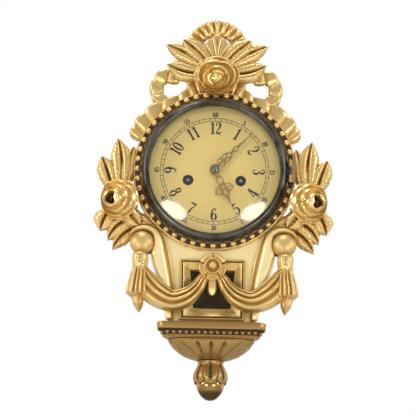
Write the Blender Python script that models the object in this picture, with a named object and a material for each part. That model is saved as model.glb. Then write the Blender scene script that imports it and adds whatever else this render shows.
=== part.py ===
"""Carved giltwood cartel clock: case, ornaments, hinged bezel, dial, hands and two-train movement.

Metres, Z up. The clock hangs on the wall plane Y = 0 and faces -Y, so depth from the wall is -Y.
The dial's centre lies on the Y axis.
"""
import math

import bmesh
import bpy
from mathutils import Matrix, Vector

# Fits between neighbours
CLEARANCE = 0.0003
RUNNING = 0.0004

# Bezel, dial and hands
BEZEL_RADIUS = 0.086
BEZEL_WIDTH = 0.009
BEZEL_THICKNESS = 0.011
GLASS_RISE = 0.017
GLASS_THICKNESS = 0.002
DIAL_THICKNESS = 0.0012
DIAL_APERTURE = 0.070
MINUTE_HAND_LENGTH = 0.060
HOUR_HAND_LENGTH = 0.046
HAND_THICKNESS = 0.0008
MINUTES_PAST = 7.5
HOUR = 5.0
HINGE_HALF = 0.0135
HINGE_RADIUS = 0.0022
HINGE_PIN = 0.0010
TAB_HALF = 0.0034

# Bead ring round the bezel
BEAD_COUNT = 48
BEAD_RADIUS = 0.0031
RING_WIDTH = 0.010

# Case
CASE_DEPTH = 0.058
WALL = 0.010
BOARD_THICKNESS = 0.0097
COVER_THICKNESS = 0.005
TRUNK_TOP_HALF = 0.057
TRUNK_BOTTOM_HALF = 0.049
TRUNK_BOTTOM = -0.1814
RAIL_HEIGHT = 0.022
RAIL_DEPTH = 0.012

# Pendulum window and its frame
FRAME_HALF = 0.0375
FRAME_TOP = -0.1065
FRAME_BOTTOM = -0.172
FRAME_HEIGHT = 0.0058
OPENING_TOP_HALF = 0.026
OPENING_BOTTOM_HALF = 0.022
OPENING_TOP = -0.1186
OPENING_BOTTOM = -0.1578

# Carved ornaments
CREST_HUB_RADIUS = 0.020
CREST_ROSE_RADIUS = 0.026
SIDE_ROSE_RADIUS = 0.024
SIDE_ROSE_OUT = 0.02155
SIDE_ROSE_FALL = 19.22
ARCH_RADIUS = 0.028
ARCH_HALF_WIDTH = 0.0095
ARCH_CENTRE = 0.150
RIBBON_HEIGHT = 0.0085
CRIMP = 0.13
VOLUTE_X = 0.083
VOLUTE_Z = -0.089
VOLUTE_RADIUS = 0.0165
BUTTON_RADIUS = 0.0138
ARM_HEIGHT = 0.0115
ROSETTE_RADIUS = 0.0166
ROSETTE_Z = -0.116
ROSETTE_HEIGHT = 0.017
TASSEL_X = 0.0844
TASSEL_LENGTH = 0.066
SWAG_HEIGHT = 0.017
SWAG_X = 0.047
SWAG_Z = -0.1578

# Base
SHELF_HALF = 0.063
SHELF_DEPTH = 0.092
SHELF_HEIGHT = 0.018
BOWL_HALF = 0.0496
BOWL_HEIGHT = 0.0243
NECK_RADIUS = 0.016
FINIAL_HEIGHT = 0.0452
FINIAL_DEPTH = 0.034

# Movement
WINDING_SPACING = 0.062
WINDING_DROP = 0.0115
PLATE_HALF = 0.054
PLATE_TOP = 0.058
PLATE_BOTTOM = -0.052
PLATE_THICKNESS = 0.002
BACK_PLATE_DEPTH = 0.016
PLATE_SPACING = 0.034
DRUM_BARREL = 0.0225
GREAT_TEETH = 60
CENTRE_PINION = 6
CENTRE_TEETH = 60
THIRD_PINION = 6
THIRD_TEETH = 60
ESCAPE_PINION = 6
ESCAPE_TEETH = 40
ESCAPE_RADIUS = 0.0095
CANNON_TEETH = 10
MINUTE_TEETH = 30
MINUTE_PINION = 8
HOUR_TEETH = 32
CENTRE_TO_THIRD = 0.027
THIRD_TO_ESCAPE = 0.0165
CENTRE_TO_MINUTE = 0.013
PENDULUM_LENGTH = 0.2013
BOB_RADIUS = 0.012
ROD_HALF = 0.0015
PIVOT = 0.0009
GREAT_THICKNESS = 0.002
STRIKE_LEAN = 70.6

# Places that follow from the sizes above
BEAD_CIRCLE = BEZEL_RADIUS + 0.005
RING_RADIUS = BEZEL_RADIUS + RING_WIDTH
DRUM_RADIUS = RING_RADIUS - 0.004
RAIL_BOTTOM = DRUM_RADIUS - WALL - RAIL_HEIGHT
BOARD_BACK = CASE_DEPTH + CLEARANCE
BOARD_FRONT = BOARD_BACK + BOARD_THICKNESS
FACE = BOARD_FRONT + CLEARANCE
DIAL_FRONT = FACE + DIAL_THICKNESS
RING_LEDGE = FACE + 0.0052
RING_FRONT = FACE + 0.0062
BEZEL_BACK = RING_LEDGE + RUNNING
BEZEL_FRONT = BEZEL_BACK + BEZEL_THICKNESS
GLASS_EDGE = BEZEL_FRONT - 0.0029
CREST_HUB_Z = RING_RADIUS + CLEARANCE + CREST_HUB_RADIUS
SIDE_ROSE_X = (RING_RADIUS + SIDE_ROSE_OUT) * math.cos(math.radians(SIDE_ROSE_FALL))
SIDE_ROSE_Z = -(RING_RADIUS + SIDE_ROSE_OUT) * math.sin(math.radians(SIDE_ROSE_FALL))
FOLIAGE_BACK = FACE - 0.002
CREST_SEAT = RING_FRONT + BEAD_RADIUS + 0.0003
FRAME_FRONT = FACE + FRAME_HEIGHT
SWAG_BACK = FACE + ARM_HEIGHT + CLEARANCE
FRONT_PLATE_DEPTH = BACK_PLATE_DEPTH + PLATE_THICKNESS + PLATE_SPACING
FRONT_PLATE_FRONT = FRONT_PLATE_DEPTH + PLATE_THICKNESS
TIME_WHEEL_DEPTH = FRONT_PLATE_DEPTH - 0.0075
STRIKE_WHEEL_DEPTH = FRONT_PLATE_DEPTH - 0.0115
THIRD_WHEEL_DEPTH = FRONT_PLATE_DEPTH - 0.018
PIN_WHEEL_DEPTH = BACK_PLATE_DEPTH + PLATE_THICKNESS + 0.0065
TIME_ARBOR = Vector((WINDING_SPACING / 2, -WINDING_DROP))
STRIKE_ARBOR = Vector((-WINDING_SPACING / 2, -WINDING_DROP))
THIRD_ARBOR = Vector((CENTRE_TO_THIRD / 2, CENTRE_TO_THIRD * math.sqrt(3) / 2))
ESCAPE_ARBOR = Vector((0, THIRD_ARBOR.y + math.sqrt(THIRD_TO_ESCAPE ** 2 - THIRD_ARBOR.x ** 2)))
ANCHOR_ARBOR = ESCAPE_ARBOR + Vector((0, ESCAPE_RADIUS * math.sqrt(2)))
STRIKE_WHEEL_ARBOR = STRIKE_ARBOR + TIME_ARBOR.length * Vector((
    math.cos(math.radians(STRIKE_LEAN)), math.sin(math.radians(STRIKE_LEAN))))
HAMMER_ARBOR = Vector((-0.027, PLATE_BOTTOM + 0.005))
MINUTE_ARBOR = Vector((0, -CENTRE_TO_MINUTE))
MINUTE_ANGLE = math.tau * MINUTES_PAST / 60
HOUR_ANGLE = math.tau * (HOUR + MINUTES_PAST / 60) / 12

ARC = 22
ROUND = 26

FINISHES = {
    "gilt_wood": ((0.80, 0.56, 0.18), 0.36, 0.85),
    "gilt_wood_dark": ((0.52, 0.36, 0.12), 0.42, 0.80),
    "case_wood": ((0.20, 0.12, 0.06), 0.65, 0.0),
    "back_wood": ((0.42, 0.30, 0.18), 0.75, 0.0),
    "patinated_brass": ((0.20, 0.17, 0.10), 0.35, 0.9),
    "dial_gold": ((0.82, 0.66, 0.30), 0.38, 0.8),
    "dark_bush": ((0.05, 0.04, 0.03), 0.45, 0.6),
    "hand_brass": ((0.72, 0.54, 0.22), 0.28, 0.95),
    "brass": ((0.75, 0.58, 0.25), 0.30, 0.95),
    "steel": ((0.55, 0.55, 0.56), 0.30, 0.95),
    "glass": ((0.92, 0.95, 0.95), 0.03, 0.0),
}


def finish(name):
    """The material of one finish, made the first time it is asked for."""
    material = bpy.data.materials.get(name)
    if material is None:
        colour, roughness, metallic = FINISHES[name]
        material = bpy.data.materials.new(name)
        material.use_nodes = True
        shader = material.node_tree.nodes["Principled BSDF"]
        shader.inputs["Base Color"].default_value = (*colour, 1.0)
        shader.inputs["Roughness"].default_value = roughness
        shader.inputs["Metallic"].default_value = metallic
        if name == "glass":
            shader.inputs["Alpha"].default_value = 0.25
    return material


def at(x, depth, z):
    """A place given by its depth from the wall."""
    return Vector((x, -depth, z))


def body(bm):
    """An unnamed working object from a closed mesh, its faces turned outward."""
    bmesh.ops.recalc_face_normals(bm, faces=bm.faces)
    mesh = bpy.data.meshes.new("work")
    bm.to_mesh(mesh)
    bm.free()
    working = bpy.data.objects.new("work", mesh)
    bpy.context.collection.objects.link(working)
    return working


def loft(rings, cyclic=False):
    """One closed body through rings of equal count, its ends capped unless it runs round."""
    bm = bmesh.new()
    grid = [[bm.verts.new(point) for point in ring] for ring in rings]
    count = len(rings[0])
    pairs = list(zip(grid, grid[1:]))
    if cyclic:
        pairs.append((grid[-1], grid[0]))
    for first, second in pairs:
        for index in range(count):
            after = (index + 1) % count
            bm.faces.new((first[index], first[after], second[after], second[index]))
    if not cyclic:
        bm.faces.new(grid[0])
        bm.faces.new(grid[-1])
    return body(bm)


def prism(outline, depth0, depth1):
    """A flat body: an outline in X and Z between two depths."""
    return loft([[at(x, depth, z) for x, z in outline] for depth in (depth0, depth1)])


def circle(radius, count=24, centre=(0.0, 0.0)):
    """Points of a circle in X and Z."""
    points = []
    for index in range(count):
        angle = math.tau * index / count
        points.append((centre[0] + radius * math.cos(angle), centre[1] + radius * math.sin(angle)))
    return points


def turned(profile, count=24, centre=(0.0, 0.0)):
    """A solid of revolution about a line along Y; the profile is radius and depth."""
    return loft([[at(x, depth, z) for x, z in circle(radius, count, centre)] for radius, depth in profile])


def turned_ring(profile, count=ROUND):
    """A ring about the Y axis from a closed profile of radius and depth."""
    rings = []
    for index in range(count):
        angle = math.tau * index / count
        rings.append([at(r * math.cos(angle), depth, r * math.sin(angle)) for r, depth in profile])
    return loft(rings, cyclic=True)


def box(x0, x1, depth0, depth1, z0, z1):
    """A plain block."""
    return prism(((x0, z0), (x1, z0), (x1, z1), (x0, z1)), depth0, depth1)


def ball(centre, radius, segments=8, rings=5):
    """A small bead."""
    bm = bmesh.new()
    bmesh.ops.create_uvsphere(bm, u_segments=segments, v_segments=rings, radius=radius)
    bmesh.ops.translate(bm, verts=bm.verts, vec=centre)
    return body(bm)


def combine(target, others, operation):
    """Fuse other bodies with the target, or cut them from it."""
    for other in others:
        modifier = target.modifiers.new("combine", "BOOLEAN")
        modifier.operation = operation
        modifier.solver = "EXACT"
        modifier.object = other
        modifier.use_self = operation == "UNION"
        graph = bpy.context.evaluated_depsgraph_get()
        mesh = bpy.data.meshes.new_from_object(target.evaluated_get(graph))
        target.modifiers.clear()
        target.data = mesh
        bpy.data.objects.remove(other)
    return target


def fuse(target, *others):
    return combine(target, others, "UNION")


def cut(target, *others):
    return combine(target, others, "DIFFERENCE")


def piece(name, working, material, origin=(0.0, 0.0, 0.0)):
    """Name a finished body, give it its finish and set its origin without moving it."""
    origin = Vector(origin)
    working.data.transform(Matrix.Translation(-origin))
    working.location = origin
    working.name = name
    working.data.name = name
    working.data.materials.clear()
    working.data.materials.append(finish(material))
    working.data.shade_smooth()
    working.data.set_sharp_from_angle(angle=math.radians(38))
    return working


def spline(keys, count):
    """Evenly spaced stations on a smooth curve through the keys, every channel alike."""
    stations = []
    last = len(keys) - 1
    for index in range(count):
        position = last * index / (count - 1)
        segment = min(int(position), last - 1)
        t = position - segment
        near = (keys[max(segment - 1, 0)], keys[segment], keys[segment + 1], keys[min(segment + 2, last)])
        station = []
        for a, b, c, d in zip(*near):
            square = 2 * a - 5 * b + 4 * c - d
            cube = 3 * b - a - 3 * c + d
            station.append(0.5 * (2 * b + (c - a) * t + square * t ** 2 + cube * t ** 3))
        stations.append(station)
    return stations


def carved_band(keys, section, count, crimp=0.0):
    """One carved section lofted along a path.

    Keys are x, z, half width, back depth and height; crimp swells and pinches every second station.
    """
    stations = spline(keys, count)
    rings = []
    for index, (x, z, half, back, height) in enumerate(stations):
        ahead = stations[min(index + 1, count - 1)]
        behind = stations[max(index - 1, 0)]
        run = Vector((ahead[0] - behind[0], ahead[1] - behind[1])).normalized()
        swell = 1 + crimp * (1 if index % 2 else -1)
        ring = []
        for across, rise in section:
            reach = half * across * (1 + 0.25 * (swell - 1))
            ring.append(at(x - run.y * reach, back + height * rise * swell, z + run.x * reach))
        rings.append(ring)
    return loft(rings)


LEAF_SECTION = ((-1, 0.2), (-0.5, 1), (0, 0.5), (0.5, 1), (1, 0.2), (0, 0))
RIBBON_SECTION = ((-1, 0.35), (-0.5, 0.88), (0.5, 0.88), (1, 0.35), (0.7, 0), (-0.7, 0))
ARM_SECTION = ((-1, 0.30), (-0.7, 0.85), (-0.3, 1.0), (0.1, 0.82), (0.35, 0.42), (1, 0.34), (1, 0), (-0.9, 0))
SWAG_SECTION = (
    (-1, 0.18), (-0.78, 0.60), (-0.58, 0.48), (-0.30, 0.96), (-0.06, 0.76), (0.22, 1.0), (0.46, 0.58),
    (0.74, 0.66), (1, 0.18), (0.7, 0), (-0.7, 0),
)
TASSEL_SECTION = (
    (-1, 0.30), (-0.66, 0.78), (-0.42, 0.74), (-0.14, 1.0), (0.14, 0.88), (0.42, 0.96), (0.7, 0.68),
    (1, 0.30), (0.6, 0), (-0.6, 0),
)
LEAF_FORM = ((0, 0.5), (0.28, 1), (0.65, 0.80), (1, 0.05))
LEAF_STATIONS = 5


def leaf(base, tip, half, back, height, bow=0.0, lift=0.0):
    """A carved leaf: two swelling halves beside a sunk midrib, drawn out to a point."""
    start = Vector(base)
    span = Vector(tip) - start
    side = Vector((-span.y, span.x)).normalized()
    keys = []
    for t, width in LEAF_FORM:
        spot = start + span * t + side * (bow * 4 * t * (1 - t))
        keys.append((spot.x, spot.y, half * width, back + lift * t * t, height * (1 - 0.5 * t)))
    return carved_band(keys, LEAF_SECTION, LEAF_STATIONS)


# Each turn of petals: radius, height, depth of scallop and whether it is set half a petal round
ROSE_FORM = (
    (0.55, -0.26, 0.00, 0), (0.86, -0.12, 0.03, 0), (1.00, 0.12, 0.08, 0), (0.70, 0.02, 0.03, 0),
    (0.81, 0.36, 0.07, 1), (0.53, 0.22, 0.03, 1), (0.59, 0.56, 0.06, 0), (0.31, 0.38, 0.02, 0),
    (0.36, 0.65, 0.05, 1), (0.24, 0.67, 0.05, 1), (0.09, 0.46, 0.00, 1),
)
ROSE_PETALS = 5


def rose(x, z, seat, radius, toward):
    """An open rose in four turns of petals, facing the given way with its back on a seat depth."""
    axis = Vector(toward).normalized()
    across = axis.cross(Vector((0, 0, 1))).normalized()
    up = across.cross(axis)
    rings = []
    for reach, height, scallop, turn in ROSE_FORM:
        ring = []
        for index in range(3 * ROSE_PETALS):
            angle = math.tau * index / (3 * ROSE_PETALS)
            r = radius * reach * (1 + scallop * math.cos(ROSE_PETALS * angle + math.pi * turn))
            ring.append(axis * (height * radius) + (across * math.cos(angle) + up * math.sin(angle)) * r)
        rings.append(ring)
    lowest = max(point.y for ring in rings for point in ring)
    shift = Vector((x, -seat - lowest, z))
    return loft([[point + shift for point in ring] for ring in rings])


def drum_cutter(radius):
    """A long round cutter that trims an ornament to sit against the drum."""
    sides = 2 * ROUND
    return prism(circle(radius / math.cos(math.pi / sides), sides), -0.01, 0.2)


def case_outline(inset):
    """The case in front view, drum and trunk, drawn in by the inset."""
    radius = DRUM_RADIUS - inset
    top_half = TRUNK_TOP_HALF - inset
    bottom_half = TRUNK_BOTTOM_HALF - inset
    bottom = TRUNK_BOTTOM + max(inset, 0)
    join = math.asin(top_half / radius)
    points = [(bottom_half, bottom)]
    for index in range(ARC + 1):
        angle = join + (math.tau - 2 * join) * index / ARC
        points.append((radius * math.sin(angle), -radius * math.cos(angle)))
    points.append((-bottom_half, bottom))
    return points


def pairwise_closed(points):
    """Each point of a closed outline with the one after it."""
    return list(zip(points, points[1:] + points[:1]))


def keyhole(radius, slot, centre_z, rise):
    """A round hole with a narrower slot running up from it."""
    points = []
    start = math.acos(slot / radius)
    for index in range(9):
        angle = math.pi - start + (math.pi + 2 * start) * index / 8
        points.append((radius * math.cos(angle), centre_z + radius * math.sin(angle)))
    for index in range(5):
        angle = math.pi * index / 4
        points.append((slot * math.cos(angle), centre_z + rise + slot * math.sin(angle)))
    return points


KEYHOLE_Z = RAIL_BOTTOM + 0.009
HANGER_HALF = 0.020
HANGER_SCREW_X = 0.0145
HANGER_DEPTH = 0.0015
HANGER_SCREW_BACK = 0.0004
HANGER_SCREW_LENGTH = 0.0095
SCREW_HEAD = 0.0020
SCREW_SHANK = 0.0010
COVER_SCREW_LENGTH = 0.014
COVER_SCREW_INSET = WALL / 2 + SCREW_HEAD + 4 * CLEARANCE


def countersunk(x, z, depth, length):
    """A wood screw seen from its head, the shank running away from the wall."""
    profile = (
        (SCREW_HEAD, depth), (SCREW_HEAD, depth + 0.0005), (SCREW_SHANK, depth + 0.0018),
        (SCREW_SHANK, depth + length - 0.002), (0.0003, depth + length),
    )
    return turned(profile, 6, (x, z))


def cover_screw_places():
    """The back cover's three screws: two on the drum and one at the foot of the trunk."""
    reach = DRUM_RADIUS - COVER_SCREW_INSET
    angle = math.radians(18)
    high = reach * math.sin(angle)
    wide = reach * math.cos(angle)
    return (("left", -wide, high), ("right", wide, high), ("foot", 0.0, TRUNK_BOTTOM + COVER_SCREW_INSET))


def make_case():
    """Shell, front board, back cover, hanging rail and their screws."""
    rebate = COVER_THICKNESS + CLEARANCE
    outlines = (case_outline(0), case_outline(WALL), case_outline(WALL / 2))
    rings = []
    for outer, inner, ledge in zip(*outlines):
        profile = (
            (outer, 0), (outer, CASE_DEPTH), (inner, CASE_DEPTH), (inner, rebate),
            (ledge, rebate), (ledge, 0),
        )
        rings.append([at(x, depth, z) for (x, z), depth in profile])
    shell = loft(rings, cyclic=True)
    for _, x, z in cover_screw_places():
        shell = cut(shell, prism(circle(SCREW_SHANK + CLEARANCE, 8, (x, z)), rebate - 0.001, rebate + 0.011))
    piece("case_shell", shell, "case_wood")

    board = prism(case_outline(-0.002), BOARD_BACK, BOARD_FRONT)
    board = cut(board, prism(circle(DIAL_APERTURE, ROUND), BOARD_BACK - 0.01, BOARD_FRONT + 0.01))
    board = cut(board, prism(window_outline(), BOARD_BACK - 0.01, BOARD_FRONT + 0.01))
    piece("front_board", board, "gilt_wood")

    limit = RAIL_BOTTOM - CLEARANCE
    outline = []
    for spot, following in pairwise_closed(case_outline(WALL / 2 + CLEARANCE)):
        if spot[1] <= limit:
            outline.append(spot)
        if (spot[1] <= limit) != (following[1] <= limit):
            share = (limit - spot[1]) / (following[1] - spot[1])
            outline.append((spot[0] + (following[0] - spot[0]) * share, limit))
    cover = prism(outline, 0, COVER_THICKNESS)
    for label, x, z in cover_screw_places():
        cover = cut(cover, prism(circle(SCREW_HEAD + 2 * CLEARANCE, 8, (x, z)), -0.01, 0.0026))
        cover = cut(cover, prism(circle(SCREW_SHANK + CLEARANCE, 8, (x, z)), 0.001, COVER_THICKNESS + 0.01))
        screw = countersunk(x, z, CLEARANCE, COVER_SCREW_LENGTH)
        piece("back_cover_screw_" + label, screw, "steel", at(x, CLEARANCE, z))
    piece("back_cover", cover, "back_wood")

    arch = [(x, z) for x, z in case_outline(WALL + CLEARANCE) if z > RAIL_BOTTOM]
    rail_outline = [(arch[0][0], RAIL_BOTTOM)] + arch + [(arch[-1][0], RAIL_BOTTOM)]
    rail = prism(rail_outline, 0, RAIL_DEPTH)
    recess = HANGER_DEPTH + 2 * CLEARANCE
    low = KEYHOLE_Z - 0.0075
    high = KEYHOLE_Z + 0.0115
    rail = cut(rail, box(-HANGER_HALF - CLEARANCE, HANGER_HALF + CLEARANCE, -0.01, recess, low, high))
    rail = cut(rail, prism(keyhole(0.0056, 0.0046, KEYHOLE_Z, 0.005), -0.005, RAIL_DEPTH + 0.005))
    plate = box(-HANGER_HALF, HANGER_HALF, CLEARANCE, CLEARANCE + HANGER_DEPTH,
                low + CLEARANCE, high - CLEARANCE)
    plate = cut(plate, prism(keyhole(0.0046, 0.0024, KEYHOLE_Z, 0.0065), -0.005, 0.01))
    for side, sign in (("left", -1), ("right", 1)):
        spot = (sign * HANGER_SCREW_X, KEYHOLE_Z + 0.002)
        rail = cut(rail, prism(circle(SCREW_SHANK + CLEARANCE, 8, spot), 0.001, 0.0105))
        plate = cut(plate, prism(circle(SCREW_HEAD + 2 * CLEARANCE, 8, spot), -0.005, 0.01))
        screw = countersunk(*spot, HANGER_SCREW_BACK, HANGER_SCREW_LENGTH)
        piece("hanger_screw_" + side, screw, "steel", at(spot[0], HANGER_SCREW_BACK, spot[1]))
    piece("hanging_rail", rail, "back_wood")
    piece("hanger_plate", plate, "steel")


def window_outline():
    """The opening the pendulum shows through, narrower at its foot."""
    return (
        (-OPENING_BOTTOM_HALF, OPENING_BOTTOM), (OPENING_BOTTOM_HALF, OPENING_BOTTOM),
        (OPENING_TOP_HALF, OPENING_TOP), (-OPENING_TOP_HALF, OPENING_TOP),
    )


def make_window_frame():
    """A raised moulding that slopes in to the pendulum opening, mitred at four corners."""
    outer = (
        (-FRAME_HALF, FRAME_BOTTOM), (FRAME_HALF, FRAME_BOTTOM),
        (FRAME_HALF, FRAME_TOP), (-FRAME_HALF, FRAME_TOP),
    )
    profile = ((0, 0), (0, 0.7), (0.10, 1), (0.26, 1), (0.34, 0.78), (0.94, 0.2), (1, 0.1), (1, 0))
    rings = []
    for (x0, z0), (x1, z1) in zip(outer, window_outline()):
        ring = []
        for share, rise in profile:
            ring.append(at(x0 + (x1 - x0) * share, FACE + FRAME_HEIGHT * rise, z0 + (z1 - z0) * share))
        rings.append(ring)
    piece("window_frame", loft(rings, cyclic=True), "gilt_wood")


def make_scrolls():
    """Scrolled arms down each side of the trunk, each with a domed button in its eye."""
    for side, sign in (("left", -1), ("right", 1)):
        keys = []
        for x, z, half in (
            (TRUNK_BOTTOM_HALF - 0.0005, TRUNK_BOTTOM + 0.002, 0.0048),
            (TRUNK_BOTTOM_HALF + 0.0012, TRUNK_BOTTOM + 0.0234, 0.0062),
            (TRUNK_BOTTOM_HALF + 0.0035, VOLUTE_Z - 0.047, 0.0080),
            (TRUNK_TOP_HALF - 0.0008, VOLUTE_Z - 0.028, 0.0088),
            (TRUNK_TOP_HALF + 0.002, VOLUTE_Z - 0.010, 0.0080), (VOLUTE_X - 0.0215, VOLUTE_Z + 0.003, 0.0066),
            (VOLUTE_X - 0.0180, VOLUTE_Z + 0.014, 0.0040),
        ):
            keys.append((sign * x, z, sign * half, FACE, ARM_HEIGHT))
        arm = carved_band(keys, ARM_SECTION, 9)
        eye = (sign * VOLUTE_X, VOLUTE_Z)
        button_seat = FACE + 0.008
        rim = turned(((VOLUTE_RADIUS - 0.001, FACE + 0.0002), (VOLUTE_RADIUS, FACE + 0.002),
                      (VOLUTE_RADIUS, FACE + 0.0062), (VOLUTE_RADIUS - 0.0022, button_seat)), 16, eye)
        arm = cut(fuse(arm, rim), drum_cutter(RING_RADIUS + CLEARANCE))
        piece("scroll_arm_" + side, arm, "gilt_wood")
        seat = button_seat + CLEARANCE
        dome = []
        for step in range(4):
            angle = math.pi / 2 * step / 3.4
            dome.append((BUTTON_RADIUS * math.cos(angle), seat + 0.0012 + 0.0085 * math.sin(angle)))
        button = turned([(BUTTON_RADIUS - 0.0005, seat)] + dome, 16, eye)
        piece("scroll_button_" + side, button, "gilt_wood", at(eye[0], seat, eye[1]))


def make_rosette():
    """A five-petalled flower with a ring and a boss, and the leaf that drops from it."""
    back = FRAME_FRONT + CLEARANCE
    form = (
        (0.86, 0.0, 0.05), (1.0, 0.30, 0.07), (0.62, 0.40, 0.02), (0.54, 0.66, 0), (0.36, 0.48, 0),
        (0.30, 0.88, 0), (0.06, 1, 0),
    )
    rings = []
    for reach, rise, scallop in form:
        ring = []
        for index in range(20):
            angle = math.tau * index / 20 + math.pi / 2
            petal = abs(math.cos(2.5 * (angle - math.pi / 2)))
            r = ROSETTE_RADIUS * reach * (1 - 2 * scallop + 2 * scallop * petal)
            depth = back + ROSETTE_HEIGHT * rise
            ring.append(at(r * math.cos(angle), depth, ROSETTE_Z + r * math.sin(angle)))
        rings.append(ring)
    piece("rosette", loft(rings), "gilt_wood", at(0, back, ROSETTE_Z))
    top = ROSETTE_Z - 0.93 * ROSETTE_RADIUS
    drop = leaf((0, top), (0, top - 0.0175), 0.0056, back + 0.001, 0.006)
    piece("drop_leaf", drop, "gilt_wood", at(0, back, top))


def make_drapery():
    """Two carved swags and the tassels that end them."""
    for side, sign in (("left", -1), ("right", 1)):
        top = VOLUTE_Z - VOLUTE_RADIUS - CLEARANCE
        keys = []
        for fall, shift, half, depth in (
            (0.0, 0, 0.0075, 0.010), (0.05, 0, 0.0093, 0.013), (0.13, 0, 0.0092, 0.0135),
            (0.19, 0, 0.0070, 0.010),
            (0.27, 0.0004, 0.0086, 0.0125), (0.45, 0.0014, 0.0100, 0.0145), (0.62, 0.0028, 0.0113, 0.0155),
            (0.70, 0.0034, 0.0117, 0.0160), (0.74, 0.0030, 0.0085, 0.0120), (0.86, 0.0010, 0.0058, 0.0085),
            (1.0, 0, 0.0008, 0.003),
        ):
            x = sign * (TASSEL_X + shift)
            keys.append((x, top - TASSEL_LENGTH * fall, half, FACE + 0.007, depth + 0.006))
        tassel = carved_band(keys, TASSEL_SECTION, 14)
        piece("tassel_" + side, tassel, "gilt_wood", at(sign * TASSEL_X, FACE, top))

        edge = TASSEL_X - 0.0093 - CLEARANCE
        keys = []
        for x, z, half, depth in (
            (edge, 0.0203, 0.0165, 0.70), (edge - 0.011, 0.0078, 0.0142, 0.92), (SWAG_X, 0, 0.0121, 1.0),
            (SWAG_X - 0.016, 0.0043, 0.0117, 0.96), (SWAG_X - 0.0275, 0.0138, 0.0094, 0.82),
            (SWAG_X - 0.0352, 0.0263, 0.0062, 0.66),
        ):
            keys.append((sign * x, SWAG_Z + z, half, SWAG_BACK, SWAG_HEIGHT * depth))
        swag = carved_band(keys, SWAG_SECTION, 10)
        collar = prism(circle(ROSETTE_RADIUS + CLEARANCE, 30, (0, ROSETTE_Z)), 0.05, 0.15)
        wall = box(sign * (edge + 0.0001), sign * (edge + 0.05), 0.05, 0.15, SWAG_Z - 0.05, SWAG_Z + 0.08)
        swag = cut(swag, collar, wall)
        piece("swag_" + side, swag, "gilt_wood", at(sign * SWAG_X, SWAG_BACK, SWAG_Z))


def shelf_plan(half, front, corner=0.010):
    """The shelf in plan: square at the wall, round at its two front corners."""
    points = [(-half, 0.0), (half, 0.0)]
    for start, x in ((0, half - corner), (math.pi / 2, corner - half)):
        for index in range(5):
            angle = start + math.pi / 2 * index / 4
            points.append((x + corner * math.cos(angle), front - corner + corner * math.sin(angle)))
    return points


def make_base():
    """Shelf with a moulded rail and a bead row, gadrooned bowl and budded finial."""
    top = TRUNK_BOTTOM - CLEARANCE
    rings = []
    for fall, inset in (
        (0, 0.0018), (0.07, 0.0004), (0.16, 0), (0.46, 0.0006), (0.54, 0.0020), (0.56, 0.0052),
        (0.84, 0.0088), (0.86, 0.0072), (0.97, 0.0088), (1, 0.0105),
    ):
        plan = shelf_plan(SHELF_HALF - inset, SHELF_DEPTH - inset)
        rings.append([at(x, depth, top - SHELF_HEIGHT * fall) for x, depth in plan])
    shelf = loft(rings)
    bead_z = top - 0.70 * SHELF_HEIGHT
    inset = 0.0062
    half = SHELF_HALF - inset
    spread = half - 0.009
    places = [(spread * (2 * index / 12 - 1), SHELF_DEPTH - inset) for index in range(13)]
    places += [(sign * (half - 0.0026), SHELF_DEPTH - inset - 0.0026) for sign in (-1, 1)]
    shelf = fuse(shelf, *[ball(at(x, depth, bead_z), 0.0034, 4, 2) for x, depth in places])
    piece("base_shelf", shelf, "gilt_wood_dark", at(0, 0, top))

    bowl_top = top - SHELF_HEIGHT - CLEARANCE
    back = FINIAL_DEPTH - 0.001
    front = SHELF_DEPTH - 0.014 - FINIAL_DEPTH
    flutes = 16
    rings = []
    for step in range(6):
        share = step / 5
        spread = math.sqrt(1 - share ** 2)
        ring = []
        for index in range(2 * flutes):
            angle = math.tau * index / (2 * flutes)
            flute = 1 - (0.05 if index % 2 else 0) * math.sin(math.pi * min(share + 0.12, 1))
            reach = front if math.sin(angle) > 0 else back
            wide = (NECK_RADIUS + (BOWL_HALF - NECK_RADIUS) * spread) * flute
            deep = (NECK_RADIUS + (reach - NECK_RADIUS) * spread) * flute
            level = bowl_top - BOWL_HEIGHT * share
            ring.append(at(wide * math.cos(angle), FINIAL_DEPTH + deep * math.sin(angle), level))
        rings.append(ring)
    piece("gadroon_bowl", loft(rings), "gilt_wood_dark", at(0, FINIAL_DEPTH, bowl_top))

    finial_top = bowl_top - BOWL_HEIGHT - CLEARANCE
    rings = []
    for fall, radius, lobe in (
        (0, 1.0, 0), (0.04, 0.93, 0.02), (0.16, 1.08, 0.05), (0.36, 1.26, 0.06), (0.60, 1.10, 0.08),
        (0.575, 0.98, 0.02), (0.66, 0.98, 0), (0.81, 0.78, 0), (0.93, 0.42, 0), (1.0, 0.06, 0),
    ):
        ring = []
        for index in range(16):
            angle = math.tau * index / 16
            r = NECK_RADIUS * radius * (1 + lobe * math.cos(8 * angle))
            level = finial_top - FINIAL_HEIGHT * fall
            ring.append(at(r * math.cos(angle), FINIAL_DEPTH + r * math.sin(angle), level))
        rings.append(ring)
    piece("finial", loft(rings), "gilt_wood_dark", at(0, FINIAL_DEPTH, finial_top))


# Leaves of the crest fan: angle above level, length from the hub, half width and bow
CREST_FAN = (
    (8, 0.060, 0.0120, -0.004), (30, 0.0705, 0.0088, 0.004), (46, 0.0590, 0.0092, 0.003),
    (66, 0.0400, 0.0080, 0.0), (90, 0.0452, 0.0090, 0.0),
)


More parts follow.
